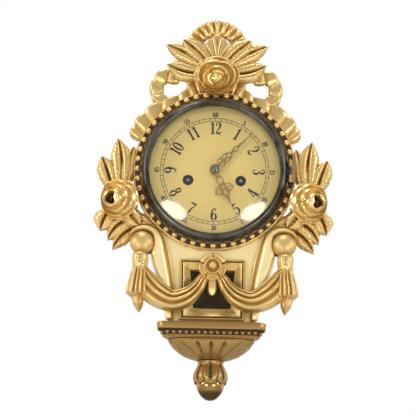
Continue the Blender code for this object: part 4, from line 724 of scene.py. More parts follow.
def make_crest_leaves():
    bodies = [make_palmette()]
    for number, (angle, length, half, bow) in enumerate(CREST_FAN):
        for sign in (1, -1):
            way = np.array((sign * math.cos(math.radians(angle)), math.sin(math.radians(angle))))
            base = np.array(CREST_HUB) + way * 0.009
            tip = np.array(CREST_HUB) + way * length
            bodies.append(leaf("crest_leaf", base, tip, half, FOLIAGE_BACK + 0.0007 * number, 0.0090, sign * bow, 0.003))
    hub = ((0.0, CREST_SEAT - 0.0006), (0.014, CREST_SEAT - 0.001), (0.0192, CREST_SEAT - 0.004),
           (0.0198, FOLIAGE_BACK - 0.0005), (0.0, FOLIAGE_BACK - 0.0005))
    bodies.append(turned("crest_hub", hub, 40, CREST_HUB))
    return trimmed(joined("crest_leaves", bodies), CARVING_EDGE)


def trimmed(obj, radius):
    """Push what would stand inside the drum's ring out to it."""
    points = np.empty(len(obj.data.vertices) * 3)
    obj.data.vertices.foreach_get("co", points)
    points = points.reshape(-1, 3)
    reach = np.hypot(points[:, 0], points[:, 2])
    push = np.maximum(radius / np.maximum(reach, 1e-6), 1.0)
    points[:, 0] *= push
    points[:, 2] *= push
    obj.data.vertices.foreach_set("co", points.ravel())
    obj.data.update()
    return obj


def make_arch():
    """The pleated ribbon that closes the crest."""
    first, last = math.radians(-52), math.radians(232)

    def place(u, v):
        ahead, s = faced(v, 0.84)
        turn = first + (last - first) * u
        fold = np.abs(np.sin(math.pi * 17 * u)) ** 0.8 * (0.72 + 0.28 * np.sin(math.pi * 8.5 * u) ** 2)
        reach = 0.028 + 0.0096 * s * (1 + 0.07 * (fold - 0.5) * (s > 0))
        outer = smooth(s, -1.1, 0.3)
        edge = 1 - np.abs(s) ** 8
        rise = 0.24 + 0.14 * edge + (0.62 * outer + 0.08) * fold * edge
        cap = rounded_ends(u, 0.02)
        depth = np.where(ahead, RIBBON_BACK + 0.0085 * rise, RIBBON_BACK)
        depth = RIBBON_BACK + 0.002 + (depth - RIBBON_BACK - 0.002) * cap
        reach = 0.028 + (reach - 0.028) * cap
        return reach * np.cos(turn), depth, 0.150 + reach * np.sin(turn)

    return formed("pleated_arch", 300, 22, place, 50.0)


def make_ribbon(side, sign):
    strand = band("strand", ribbon_keys(RIBBON_STRAND, RIBBON_BACK, 0.0079), pleats(8, 0.52), 170, 26, sign)
    loop = band("loop", ribbon_keys(RIBBON_LOOP, RIBBON_BACK - 0.0006, 0.0081), pleats(4, 0.34), 120, 26, sign)
    return trimmed(joined("ribbon_" + side, [strand, loop]), DRUM_RADIUS + 0.0022)


class CLOCK_OT_crest(bpy.types.Operator):
    """Carve the crest: leaves, rose, pleated arch and ribbons"""
    bl_idname = "clock.crest"
    bl_label = "Crest"

    def execute(self, context):
        sizes = context.scene.clock_sizes
        dressed(make_crest_leaves(), "case", "gilt_wood", ("crest_foliage",))
        flower = rose("crest_rose_carved", *CREST_ROSE, CREST_SEAT, sizes.crest_rose, (0, -1, -0.40), CREST_TURNS,
                      bud=(0.28, 0.66), shift=(0.0, -0.16), lean=(0, -1, -0.26), squash=0.86)
        dressed(flower, "case", "gilt_wood", ("crest_rose",), "gilt_bright")
        dressed(make_arch(), "case", "gilt_wood", ("ribbon_arch",))
        for side, sign in SIDES:
            dressed(make_ribbon(side, sign), "case", "gilt_wood", ("ribbon_loop_" + side,))
        return {"FINISHED"}


class CLOCK_OT_side_sprays(bpy.types.Operator):
    """Carve the leaf sprays and roses beside the dial"""
    bl_idname = "clock.side_sprays"
    bl_label = "Side sprays"

    def execute(self, context):
        radius = context.scene.clock_sizes.side_rose
        for side, sign in SIDES:
            bodies = []
            for number, (base, tip, half, bow) in enumerate(SIDE_SPRAY):
                start = (sign * (SIDE_ROSE[0] + base[0]), SIDE_ROSE[1] + base[1])
                end = (sign * (SIDE_ROSE[0] + tip[0]), SIDE_ROSE[1] + tip[1])
                bodies.append(leaf("side_leaf", start, end, half, SPRAY_BACK + 0.0008 * number, 0.0098, sign * bow, 0.002))
            hub = ((0.0, SIDE_SEAT), (0.016, SIDE_SEAT), (0.021, SIDE_SEAT - 0.002), (0.022, SPRAY_BACK - 0.0004),
                   (0.0, SPRAY_BACK - 0.0004))
            bodies.append(turned("side_hub", hub, 40, (sign * SIDE_ROSE[0], SIDE_ROSE[1])))
            spray = trimmed(joined("side_spray_" + side, bodies), CARVING_EDGE)
            dressed(spray, "case", "gilt_wood", ("side_leaves_" + side,))
            flower = rose("side_rose_carved_" + side, sign * SIDE_ROSE[0], SIDE_ROSE[1], SIDE_SEAT + 0.0003, radius,
                          (sign * 0.36, -1, -0.12), SIDE_TURNS, hollow=(0.21, 0.42), shift=(sign * -0.30, -0.02),
                          mirror=sign > 0, lean=(sign * 0.45, -1, -0.06))
            dressed(flower, "case", "gilt_wood", ("side_rose_" + side,), "gilt_bright")
        return {"FINISHED"}


class CLOCK_OT_bead_ring(bpy.types.Operator):
    """Turn the beaded ring round the bezel"""
    bl_idname = "clock.bead_ring"
    bl_label = "Bead ring"

    def execute(self, context):
        sizes = context.scene.clock_sizes
        r = sizes.bezel_radius
        rim = RING_RADIUS
        ground = turned("bead_channel", (
            (0.0816, FACE), (rim - 0.0012, FACE), (rim - 0.0012, RING_FRONT - 0.0014),
            (r + 0.0004, RING_FRONT - 0.0014), (0.0816, RING_FRONT - 0.0016), (0.0816, FACE),
        ), 192)
        dressed(ground, "case", "gilt_wood", ("bead_ring",), "bole")
        rims = [
            turned("outer_fillet", (
                (rim - 0.0014, FACE), (rim - 0.0002, FACE), (rim, FACE + 0.004), (rim - 0.0004, RING_FRONT - 0.0004),
                (rim - 0.0010, RING_FRONT - 0.0002), (rim - 0.0016, RING_FRONT - 0.0006),
                (rim - 0.0018, RING_FRONT - 0.0016), (rim - 0.0014, FACE)), 192),
            turned("inner_fillet", (
                (r + 0.0002, RING_FRONT - 0.0022), (r + 0.0014, RING_FRONT - 0.0022), (r + 0.0013, RING_FRONT - 0.0006),
                (r + 0.0008, RING_FRONT - 0.0001), (r + 0.0003, RING_FRONT - 0.0006),
                (r + 0.0002, RING_FRONT - 0.0022)), 192),
        ]
        size = sizes.bead_radius
        knob = turned("bead", (
            (0.0, 1.02 * size), (0.30 * size, 0.96 * size), (0.58 * size, 0.80 * size), (0.84 * size, 0.50 * size),
            (0.98 * size, 0.12 * size), (0.94 * size, -0.28 * size), (0.70 * size, -0.66 * size), (0.0, -0.72 * size),
        ), 18)
        moves = []
        for index in range(sizes.bead_count):
            turn = math.tau * index / sizes.bead_count
            spot = (sizes.bead_circle * math.cos(turn), sizes.bead_circle * math.sin(turn))
            if spot[0] > 0 and abs(spot[1]) < 0.0170:
                continue
            moves.append(Matrix.Translation((spot[0], -(RING_FRONT - 0.0003), spot[1])))
        dressed(joined("bead_row", copied(knob, moves) + rims), "case", "gilt_wood")
        return {"FINISHED"}


class CLOCK_OT_bezel(bpy.types.Operator):
    """Turn the bezel with its pull tab and knuckle, and its convex glass"""
    bl_idname = "clock.bezel"
    bl_label = "Bezel and glass"

    def execute(self, context):
        sizes = context.scene.clock_sizes
        r = sizes.bezel_radius
        b, f = BEZEL_BACK, BEZEL_FRONT
        ring = turned("bezel_turned", (
            (r - 0.0065, b), (r - 0.0004, b), (r, b + 0.0004), (r, b + 0.0022), (r - 0.0008, b + 0.0028),
            (r - 0.0006, b + 0.0046), (r - 0.0012, b + 0.0066), (r - 0.0022, b + 0.0083), (r - 0.0036, f - 0.0011),
            (r - 0.0050, f - 0.0003), (r - 0.0064, f), (r - 0.0074, f - 0.0004), (r - 0.0078, f - 0.0010),
            (r - 0.0084, f - 0.0009), (r - 0.0090, f - 0.0012), (r - 0.0090, f - 0.0018), (r - 0.0065, f - 0.0026),
            (r - 0.0065, b)), 192, angle=30.0)
        tab = formed("pull_tab", 24, 16, lambda u, v: (
            -r + 0.0020 - 0.0048 * np.sin(math.pi * v) ** 0.5 * np.sin(math.pi * u) ** 0.35,
            b + 0.0046 + 0.0032 * v, 0.0036 * (2 * u - 1) * (0.9 + 0.1 * np.sin(math.pi * v))), 60.0)
        knuckle = barrel_knuckle("middle_knuckle", -0.0048, 0.0048)
        arm = barrel_arm("knuckle_arm", r)
        dressed(joined("bezel_bronze", [ring, tab, knuckle, arm]), "bezel", "patinated_brass", ("bezel_ring",))
        edge = r - 0.0068
        crown = (edge ** 2 + sizes.glass_rise ** 2) / (2 * sizes.glass_rise)
        radii = edge * np.sin(np.linspace(0, math.pi / 2, 25))
        sag = np.sqrt(crown ** 2 - radii ** 2) - (crown - sizes.glass_rise)
        outer = np.column_stack([radii, GLASS_EDGE + sag])
        inner = np.column_stack([radii[::-1], GLASS_EDGE + sag[::-1] - 0.0016])
        pane = turned("convex_glass", np.vstack([outer, inner]), 128, angle=60.0)
        dressed(pane, "bezel", "glass", ("bezel_glass",))
        return {"FINISHED"}


HINGE_X = 0.0888
HINGE_DEPTH = 0.0793


def barrel_knuckle(name, low, high):
    """One knuckle of the hinge, eased at its ends."""
    rows = ((low, 0.0), (low, 0.0017), (low + 0.0004, 0.0022), (high - 0.0004, 0.0022), (high, 0.0017), (high, 0.0))
    levels = np.array(rows)

    def place(u, v):
        z = np.interp(v * 5, np.arange(6), levels[:, 0])
        r = np.interp(v * 5, np.arange(6), levels[:, 1])
        return HINGE_X + r * np.cos(u * math.tau), HINGE_DEPTH + r * np.sin(u * math.tau), z

    return formed(name, 24, 5, place, 40.0)


def barrel_arm(name, r):
    """The lug that carries the bezel's knuckle."""
    bpy.ops.object.select_all(action="DESELECT")
    bpy.ops.mesh.primitive_cube_add(size=1.0, location=((r - 0.002 + HINGE_X) / 2, -HINGE_DEPTH - 0.0001, 0.0),
                                    scale=(HINGE_X - r + 0.002, 0.0016, 0.0096))
    lug = bpy.context.object
    lug.name = name
    bpy.ops.object.transform_apply(location=True, rotation=True, scale=True)
    bpy.ops.object.mode_set(mode="EDIT")
    bpy.ops.mesh.select_all(action="SELECT")
    bpy.ops.mesh.bevel(offset=0.0003, segments=2)
    bpy.ops.object.mode_set(mode="OBJECT")
    return mended(lug)


# Figures as pen strokes in a box one high: each stroke is rows of x, y and the pen's width
def oval(x, y, wide, high, thin, thick, lean=0.0):
    rows = []
    for step in range(25):
        turn = math.tau * step / 24
        pen = thin + (thick - thin) * abs(math.cos(turn + lean)) ** 1.3
        rows.append((x + wide * math.cos(turn), y + high * math.sin(turn), pen))
    return tuple(rows)


SIX = (
    ((0.43, 0.86, 0.05), (0.36, 0.955, 0.05), (0.25, 0.955, 0.06), (0.12, 0.78, 0.11), (0.075, 0.52, 0.15),
     (0.07, 0.30, 0.15)),
    oval(0.26, 0.29, 0.185, 0.265, 0.045, 0.155), ((0.38, 0.83, 0.14), (0.44, 0.83, 0.14)),
)
FIGURES = {
    "0": (oval(0.25, 0.5, 0.19, 0.475, 0.05, 0.16),),
    "1": (((0.27, 1.0, 0.15), (0.27, 0.5, 0.15), (0.27, 0.0, 0.15)),
          ((0.27, 0.97, 0.06), (0.18, 0.88, 0.05), (0.07, 0.84, 0.045)),
          ((0.10, 0.022, 0.045), (0.27, 0.022, 0.05), (0.44, 0.022, 0.045))),
    "2": (((0.075, 0.74, 0.05), (0.11, 0.90, 0.05), (0.24, 0.975, 0.05), (0.39, 0.90, 0.12), (0.43, 0.73, 0.16),
           (0.36, 0.54, 0.11), (0.20, 0.32, 0.06), (0.07, 0.10, 0.05)),
          ((0.07, 0.07, 0.08), (0.18, 0.075, 0.13), (0.34, 0.055, 0.13), (0.44, 0.09, 0.07), (0.48, 0.24, 0.045)),
          ((0.08, 0.745, 0.15), (0.145, 0.745, 0.15))),
    "3": (((0.075, 0.80, 0.05), (0.13, 0.93, 0.05), (0.25, 0.975, 0.05), (0.37, 0.90, 0.11), (0.40, 0.77, 0.145),
           (0.34, 0.62, 0.09), (0.19, 0.535, 0.045)),
          ((0.19, 0.535, 0.045), (0.36, 0.47, 0.09), (0.44, 0.28, 0.16), (0.37, 0.09, 0.11), (0.23, 0.022, 0.05),
           (0.11, 0.06, 0.05), (0.06, 0.19, 0.05)),
          ((0.085, 0.79, 0.15), (0.145, 0.79, 0.15)), ((0.075, 0.205, 0.15), (0.135, 0.205, 0.15))),
    "4": (((0.36, 0.99, 0.06), (0.19, 0.64, 0.05), (0.02, 0.29, 0.05)), ((0.0, 0.275, 0.05), (0.27, 0.275, 0.05),
          (0.53, 0.275, 0.05)), ((0.365, 1.0, 0.15), (0.365, 0.5, 0.15), (0.365, 0.0, 0.15)),
          ((0.21, 0.022, 0.045), (0.365, 0.022, 0.05), (0.52, 0.022, 0.045))),
    "5": (((0.095, 0.96, 0.05), (0.16, 0.93, 0.11), (0.28, 0.91, 0.13), (0.41, 0.96, 0.06)),
          ((0.10, 0.96, 0.045), (0.095, 0.75, 0.045), (0.09, 0.53, 0.045)),
          ((0.09, 0.53, 0.04), (0.19, 0.61, 0.05), (0.31, 0.60, 0.08), (0.43, 0.46, 0.14), (0.44, 0.27, 0.16),
           (0.36, 0.09, 0.11), (0.22, 0.022, 0.05), (0.11, 0.06, 0.05), (0.06, 0.18, 0.05)),
          ((0.075, 0.195, 0.15), (0.135, 0.195, 0.15))),
    "6": SIX,
    "7": (((0.05, 0.77, 0.045), (0.06, 0.90, 0.06), (0.11, 0.95, 0.09), (0.25, 0.905, 0.13), (0.46, 0.945, 0.08)),
          ((0.46, 0.945, 0.05), (0.35, 0.66, 0.06), (0.25, 0.36, 0.12), (0.22, 0.02, 0.17))),
    "8": (oval(0.25, 0.755, 0.145, 0.215, 0.05, 0.125, 0.35), oval(0.25, 0.265, 0.185, 0.245, 0.05, 0.15, 0.3)),
    "9": tuple(tuple((0.52 - x, 1.0 - y, pen) for x, y, pen in stroke) for stroke in SIX),
}
FIGURE_STEP = 0.57


def figure(name, digit, weight):
    """One figure of the dial as flat strokes one high, standing in the XZ plane."""
    strokes = []
    for rows in FIGURES[digit]:
        blob = len(rows) == 2

        def place(u, v, rows=rows, blob=blob):
            x, y, pen = curve(rows, u).T
            pen = pen + weight
            if blob:
                pen = pen * np.sqrt(np.clip(1 - (2 * u - 1) ** 4, 0.02, 1))
            ahead = curve(rows, np.minimum(u + 1e-3, 1))[:, :2] - curve(rows, np.maximum(u - 1e-3, 0))[:, :2]
            ahead /= np.linalg.norm(ahead, axis=1)[:, None] + 1e-12
            reach = pen * (v - 0.5)
            return x - ahead[:, 1] * reach - 0.255, 0.0 * x, y + ahead[:, 0] * reach - 0.5

        strokes.append(formed(name, 8 if blob else 40, 1, place))
    return joined(name, strokes)


def figures_on(name, texts, circle, height, squeeze, weight):
    """Copies of figures round a circle, upright in the lower half; gives their bodies."""
    moves = {}
    for turn, text in texts:
        lower = math.cos(turn) < -0.2
        spin = turn + math.pi if lower else turn
        middle = Matrix.Translation((circle * math.sin(turn), 0, circle * math.cos(turn)))
        for index, digit in enumerate(text):
            shift = (index - (len(text) - 1) / 2) * FIGURE_STEP * (0.86 if "1" in text else 1.0)
            move = (middle @ Matrix.Rotation(spin, 4, "Y") @ Matrix.Diagonal((height * squeeze, 1, height, 1))
                    @ Matrix.Translation((shift, 0, 0)))
            moves.setdefault(digit, []).append(move)
    bodies = []
    for digit, places in moves.items():
        bodies += copied(figure(name, digit, weight), places)
    return bodies


class CLOCK_OT_dial(bpy.types.Operator):
    """Make the dial plate, its painted figures and tracks and the winding bushes"""
    bl_idname = "clock.dial"
    bl_label = "Dial"

    def execute(self, context):
        sizes = context.scene.clock_sizes
        rim = sizes.bezel_radius - 0.0062
        plate = turned("dial_disc", (
            (0.0, DIAL_FRONT), (0.066, DIAL_FRONT), (0.0742, DIAL_FRONT), (0.0745, DIAL_FRONT - 0.0002),
            (0.0752, DIAL_FRONT - 0.0002), (0.0755, DIAL_FRONT), (rim - 0.0004, DIAL_FRONT - 0.0001),
            (rim, DIAL_FRONT - 0.0004), (rim, FACE + 0.0001), (0.0, FACE + 0.0001)), 160, angle=30.0)
        holes = []
        for x, z, radius in ((0.0, 0.0, 0.0044), (-0.031, -0.0115, 0.0054), (0.031, -0.0115, 0.0054)):
            bpy.ops.object.select_all(action="DESELECT")
            bpy.ops.mesh.primitive_cylinder_add(vertices=40, radius=radius, depth=0.02, location=(x, -DIAL_FRONT, z),
                                                rotation=(math.pi / 2, 0, 0))
            holes.append(bpy.context.object)
        for hole in holes:
            cutter = plate.modifiers.new("hole", "BOOLEAN")
            cutter.object = hole
            cutter.operation = "DIFFERENCE"
            cutter.solver = "EXACT"
            only(plate)
            bpy.ops.object.modifier_apply(modifier=cutter.name)
            bpy.data.objects.remove(hole)
        dressed(mended(plate, 30.0), "case", "dial_gold", ("dial_plate",))
        hours = [(math.tau * hour / 12, str(hour)) for hour in range(1, 13)]
        minutes = [(math.tau * minute / 60, str(minute)) for minute in range(5, 61, 5)]
        ink = figures_on("hour_figure", hours, sizes.hour_circle, sizes.hour_height, 0.96, 0.026)
        ink += figures_on("minute_figure", minutes, sizes.minute_circle, sizes.minute_height, 1.05, 0.075)
        for radius in (sizes.track_inner, sizes.track_outer):
            ink.append(turned("track_line", ((radius - 0.0003, 0.0), (radius + 0.0003, 0.0)), 160))
        tick = formed("tick", 1, 1, lambda u, v: (
            0.0006 * (u - 0.5), 0.0 * u, sizes.track_inner + (sizes.track_outer - sizes.track_inner) * v))
        ink += copied(tick, [Matrix.Rotation(math.tau * step / 60, 4, "Y") for step in range(60)])
        lettering = joined("dial_figures", ink)
        lettering.data.transform(Matrix.Translation((0, -DIAL_FRONT - 0.00005, 0)))
        only(lettering)
        body = lettering.modifiers.new("body", "SOLIDIFY")
        body.thickness = 0.00008
        body.offset = 0.0
        bpy.ops.object.modifier_apply(modifier=body.name)
        dressed(lettering, "case", "dial_gold", (), "figure_black")
        for side, sign in SIDES:
            bush = turned("bush_" + side, (
                (0.0043, FACE + 0.0002), (0.0051, FACE + 0.0002), (0.0052, DIAL_FRONT + 0.0001),
                (0.0061, DIAL_FRONT + 0.0001), (0.0062, DIAL_FRONT + 0.0005), (0.0056, DIAL_FRONT + 0.0012),
                (0.0049, DIAL_FRONT + 0.0014), (0.0043, DIAL_FRONT + 0.0009), (0.0043, FACE + 0.0002)),
                48, (sign * 0.031, -0.0115))
            dressed(bush, "case", "dark_bush", ("winding_bush_" + side,))
        return {"FINISHED"}


# Hands in outline: share of the length and half width, and their piercings
MINUTE_FORM = (
    (-0.070, 0.0020), (-0.05, 0.0038), (0.0, 0.0049), (0.05, 0.0036), (0.085, 0.0018), (0.115, 0.0036), (0.15, 0.0050),
    (0.19, 0.0056), (0.235, 0.0042), (0.275, 0.0054), (0.34, 0.0048), (0.41, 0.0030), (0.46, 0.0015), (0.51, 0.0026),
    (0.55, 0.0030), (0.60, 0.0020), (0.64, 0.0014), (0.80, 0.0008), (1.0, 0.0002),
)
MINUTE_HOLES = (
    (0, 0, 0.0024, 0.0024), (0.165, 0.0027, 0.0026, 0.0015), (0.165, -0.0027, 0.0026, 0.0015),
    (0.290, 0.0025, 0.0027, 0.0014), (0.290, -0.0025, 0.0027, 0.0014), (0.375, 0, 0.0026, 0.0014),
    (0.55, 0, 0.0024, 0.0017),
)
HOUR_FORM = (
    (-0.118, 0.0024), (-0.08, 0.0046), (0.0, 0.0060), (0.08, 0.0046), (0.14, 0.0031), (0.17, 0.0030), (0.21, 0.0025),
    (0.25, 0.0037), (0.32, 0.0045), (0.38, 0.0037), (0.42, 0.0030), (0.445, 0.0058), (0.47, 0.0086), (0.50, 0.0103),
    (0.535, 0.0090), (0.57, 0.0118), (0.63, 0.0102), (0.68, 0.0056), (0.73, 0.0034), (0.80, 0.0020), (0.90, 0.0011),
    (1.0, 0.0002),
)
HOUR_HOLES = (
    (0, 0, 0.0040, 0.0040), (0.166, 0, 0.0014, 0.0017), (0.320, 0, 0.0040, 0.0033),
    (0.505, 0.0060, 0.0017, 0.0022), (0.505, -0.0060, 0.0017, 0.0022), (0.500, 0, 0.0023, 0.0022),
    (0.595, 0.0070, 0.0021, 0.0026), (0.595, -0.0070, 0.0021, 0.0026), (0.655, 0, 0.0034, 0.0020),
)


def pierced_hand(name, turn, length, form, holes, depth):
    """A flat pierced hand from a filled outline, eased on its edges and turned to its time."""
    half = curve(form, np.linspace(0, 1, 90))
    outline = [(width, share * length) for share, width in half]
    outline += [(-width, share * length) for share, width in half[::-1]]
    loops = [outline]
    for share, across, long, wide in holes:
        loops.append([(across + wide * math.sin(math.tau * i / 20), share * length + long * math.cos(math.tau * i / 20))
                      for i in range(20)])
    shape = bpy.data.curves.new(name, "CURVE")
    shape.dimensions = "2D"
    shape.fill_mode = "BOTH"
    shape.extrude = 0.00028
    shape.bevel_depth = 0.00012
    for loop in loops:
        line = shape.splines.new("POLY")
        line.points.add(len(loop) - 1)
        for point, (x, y) in zip(line.points, loop):
            point.co = (x, y, 0.0, 1.0)
        line.use_cyclic_u = True
    hand = bpy.data.objects.new(name, shape)
    bpy.context.scene.collection.objects.link(hand)
    only(hand)
    bpy.ops.object.convert(target="MESH")
    hand = bpy.context.object
    hand.data.transform(Matrix.Translation((0, -depth - 0.0004, 0)) @ Matrix.Rotation(turn, 4, "Y")
                        @ Matrix.Rotation(math.pi / 2, 4, "X"))
    return mended(hand, 30.0)


class CLOCK_OT_hands(bpy.types.Operator):
    """Pierce the hands and turn the nut that holds them"""
    bl_idname = "clock.hands"
    bl_label = "Hands"

    def execute(self, context):
        sizes = context.scene.clock_sizes
        hour_depth = -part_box("hour_hand")[1].y
        minute_depth = -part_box("minute_hand")[1].y
        nut_back = -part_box("hand_nut")[1].y
        minute = pierced_hand("minute_hand_pierced", math.tau * 7.5 / 60, sizes.minute_hand, MINUTE_FORM, MINUTE_HOLES,
                              minute_depth)
        dressed(minute, "minute_hand_arbor", "hand_brass", ("minute_hand",))
        hour = pierced_hand("hour_hand_pierced", math.tau * (5 + 7.5 / 60) / 12, sizes.hour_hand, HOUR_FORM, HOUR_HOLES,
                            hour_depth)
        dressed(hour, "hour_hand_pipe", "hand_brass", ("hour_hand",))
        nut = turned("domed_nut", (
            (0.0, nut_back + 0.0048), (0.0011, nut_back + 0.0047), (0.0024, nut_back + 0.0041),
            (0.0030, nut_back + 0.0033), (0.0032, nut_back + 0.0030), (0.0043, nut_back + 0.0026),
            (0.0050, nut_back + 0.0014), (0.0048, nut_back + 0.0003), (0.0040, nut_back), (0.0, nut_back)), 48, angle=35.0)
        dressed(nut, "minute_hand_arbor", "hand_brass", ("hand_nut",), "nut_steel")
        return {"FINISHED"}


def section_through(points, front=0.85):
    """A carved section through points of across and rise, closed along its back."""
    points = np.asarray(points, float)

    def section(u, v):
        ahead = v <= front
        share = np.where(ahead, v / front, 1.0)
        across, rise = curve(points, share).T
        back = np.where(ahead, 0.0, (v - front) / (1 - front))
        first, last = points[0], points[-1]
        across = np.where(ahead, across, last[0] + (first[0] - last[0]) * back)
        rise = np.where(ahead, rise, 0.0)
        # Painted shade: the cove on the arm's inner side and its upper run over the button are marked dark.
        shade = 0.60 * smooth(across, 0.40, 0.58) * (1 - smooth(across, 0.80, 0.88))
        shade = np.maximum(shade, 0.50 * smooth(u, 0.48, 0.62)) * ahead
        return across, np.maximum(rise, 0.0), shade

    return section


ARM_KEYS = (
    (0.0485, -0.1794, 0.0050), (0.0502, -0.158, 0.0064), (0.0532, -0.136, 0.0089), (0.0581, -0.117, 0.0109),
    (0.0617, -0.1015, 0.0113), (0.0622, -0.0890, 0.0078), (0.0660, -0.0770, 0.0056), (0.0735, -0.0712, 0.0046),
    (0.0830, -0.0699, 0.0041), (0.0925, -0.0731, 0.0033), (0.0980, -0.0800, 0.0018),
)
ARM_FACE = (
    (-1.0, 0.0), (-1.0, 0.24), (-0.94, 0.52), (-0.78, 0.80), (-0.50, 0.96), (-0.15, 1.0), (0.18, 0.93), (0.42, 0.76),
    (0.56, 0.54), (0.63, 0.36), (0.70, 0.30), (0.77, 0.33), (0.83, 0.46), (0.90, 0.52), (0.97, 0.44), (1.0, 0.2),
    (1.0, 0.0),
)


class CLOCK_OT_scrolls(bpy.types.Operator):
    """Carve the scrolled arms and the buttons in their eyes"""
    bl_idname = "clock.scrolls"
    bl_label = "Scrolls"

    def execute(self, context):
        for side, sign in SIDES:
            keys = [(x, z, half, FACE, 0.0115) for x, z, half in ARM_KEYS]
            arm = band("arm", keys, section_through(ARM_FACE, 0.9), 90, 60, sign, 0.02)
            eye = (sign * VOLUTE[0], VOLUTE[1])
            rim = turned("volute_seat", (
                (0.0, FACE + 0.0080), (0.0118, FACE + 0.0080), (0.0126, FACE + 0.0072), (0.0128, FACE + 0.0020),
                (0.0120, FACE + 0.0003), (0.0, FACE + 0.0003)), 72, eye, angle=50.0)
            # A disc behind the button, marked dark on its front: a painted shadow in the crescent between button and
            # arm.
            shade = turned("volute_shade", (
                (0.0, FACE + 0.0042), (0.0136, FACE + 0.0042), (0.0138, FACE + 0.0036), (0.0138, FACE + 0.0010),
                (0.0, FACE + 0.0010)), 60, (sign * 0.0785, -0.0880))
            marks = shade.data.attributes.new("cut", "FLOAT", "POINT")
            ahead = np.array([-point.co.y > FACE + 0.003 for point in shade.data.vertices])
            marks.data.foreach_set("value", (0.92 * ahead).astype(np.float32))
            dressed(trimmed(joined("scroll_" + side, [arm, rim, shade]), CARVING_EDGE), "case", "gilt_wood",
                    ("scroll_arm_" + side,), "gilt_pale")
            seat = FACE + 0.0083
            button = turned("button_" + side, (
                (0.0, seat + 0.0097), (0.0028, seat + 0.0095), (0.0056, seat + 0.0088), (0.0084, seat + 0.0074),
                (0.0108, seat + 0.0054), (0.0125, seat + 0.0032), (0.0132, seat + 0.0014), (0.0128, seat),
                (0.0, seat)), 72, eye, 40, 60.0)
            dressed(button, "case", "gilt_wood", ("scroll_button_" + side,), "gilt_satin")
        return {"FINISHED"}


FRAME_PROFILE = (
    (0.0, 0.0), (0.0, 0.62), (0.03, 0.86), (0.08, 0.98), (0.14, 0.96), (0.165, 0.80), (0.17, 0.30), (0.265, 0.30),
    (0.27, 0.88), (0.32, 0.94), (0.39, 0.84), (0.60, 0.56), (0.90, 0.22), (0.96, 0.18), (1.0, 0.10), (1.0, 0.0),
)
ROSETTE_PROFILE = (
    (0.0, 1.0), (0.10, 0.985), (0.19, 0.92), (0.255, 0.81), (0.285, 0.68), (0.27, 0.56), (0.33, 0.50), (0.40, 0.56),
    (0.46, 0.68), (0.53, 0.71), (0.595, 0.62), (0.62, 0.46), (0.70, 0.40), (0.80, 0.43), (0.90, 0.44), (0.985, 0.34),
    (0.97, 0.20), (0.86, 0.06), (0.80, 0.0), (0.0, 0.0),
)


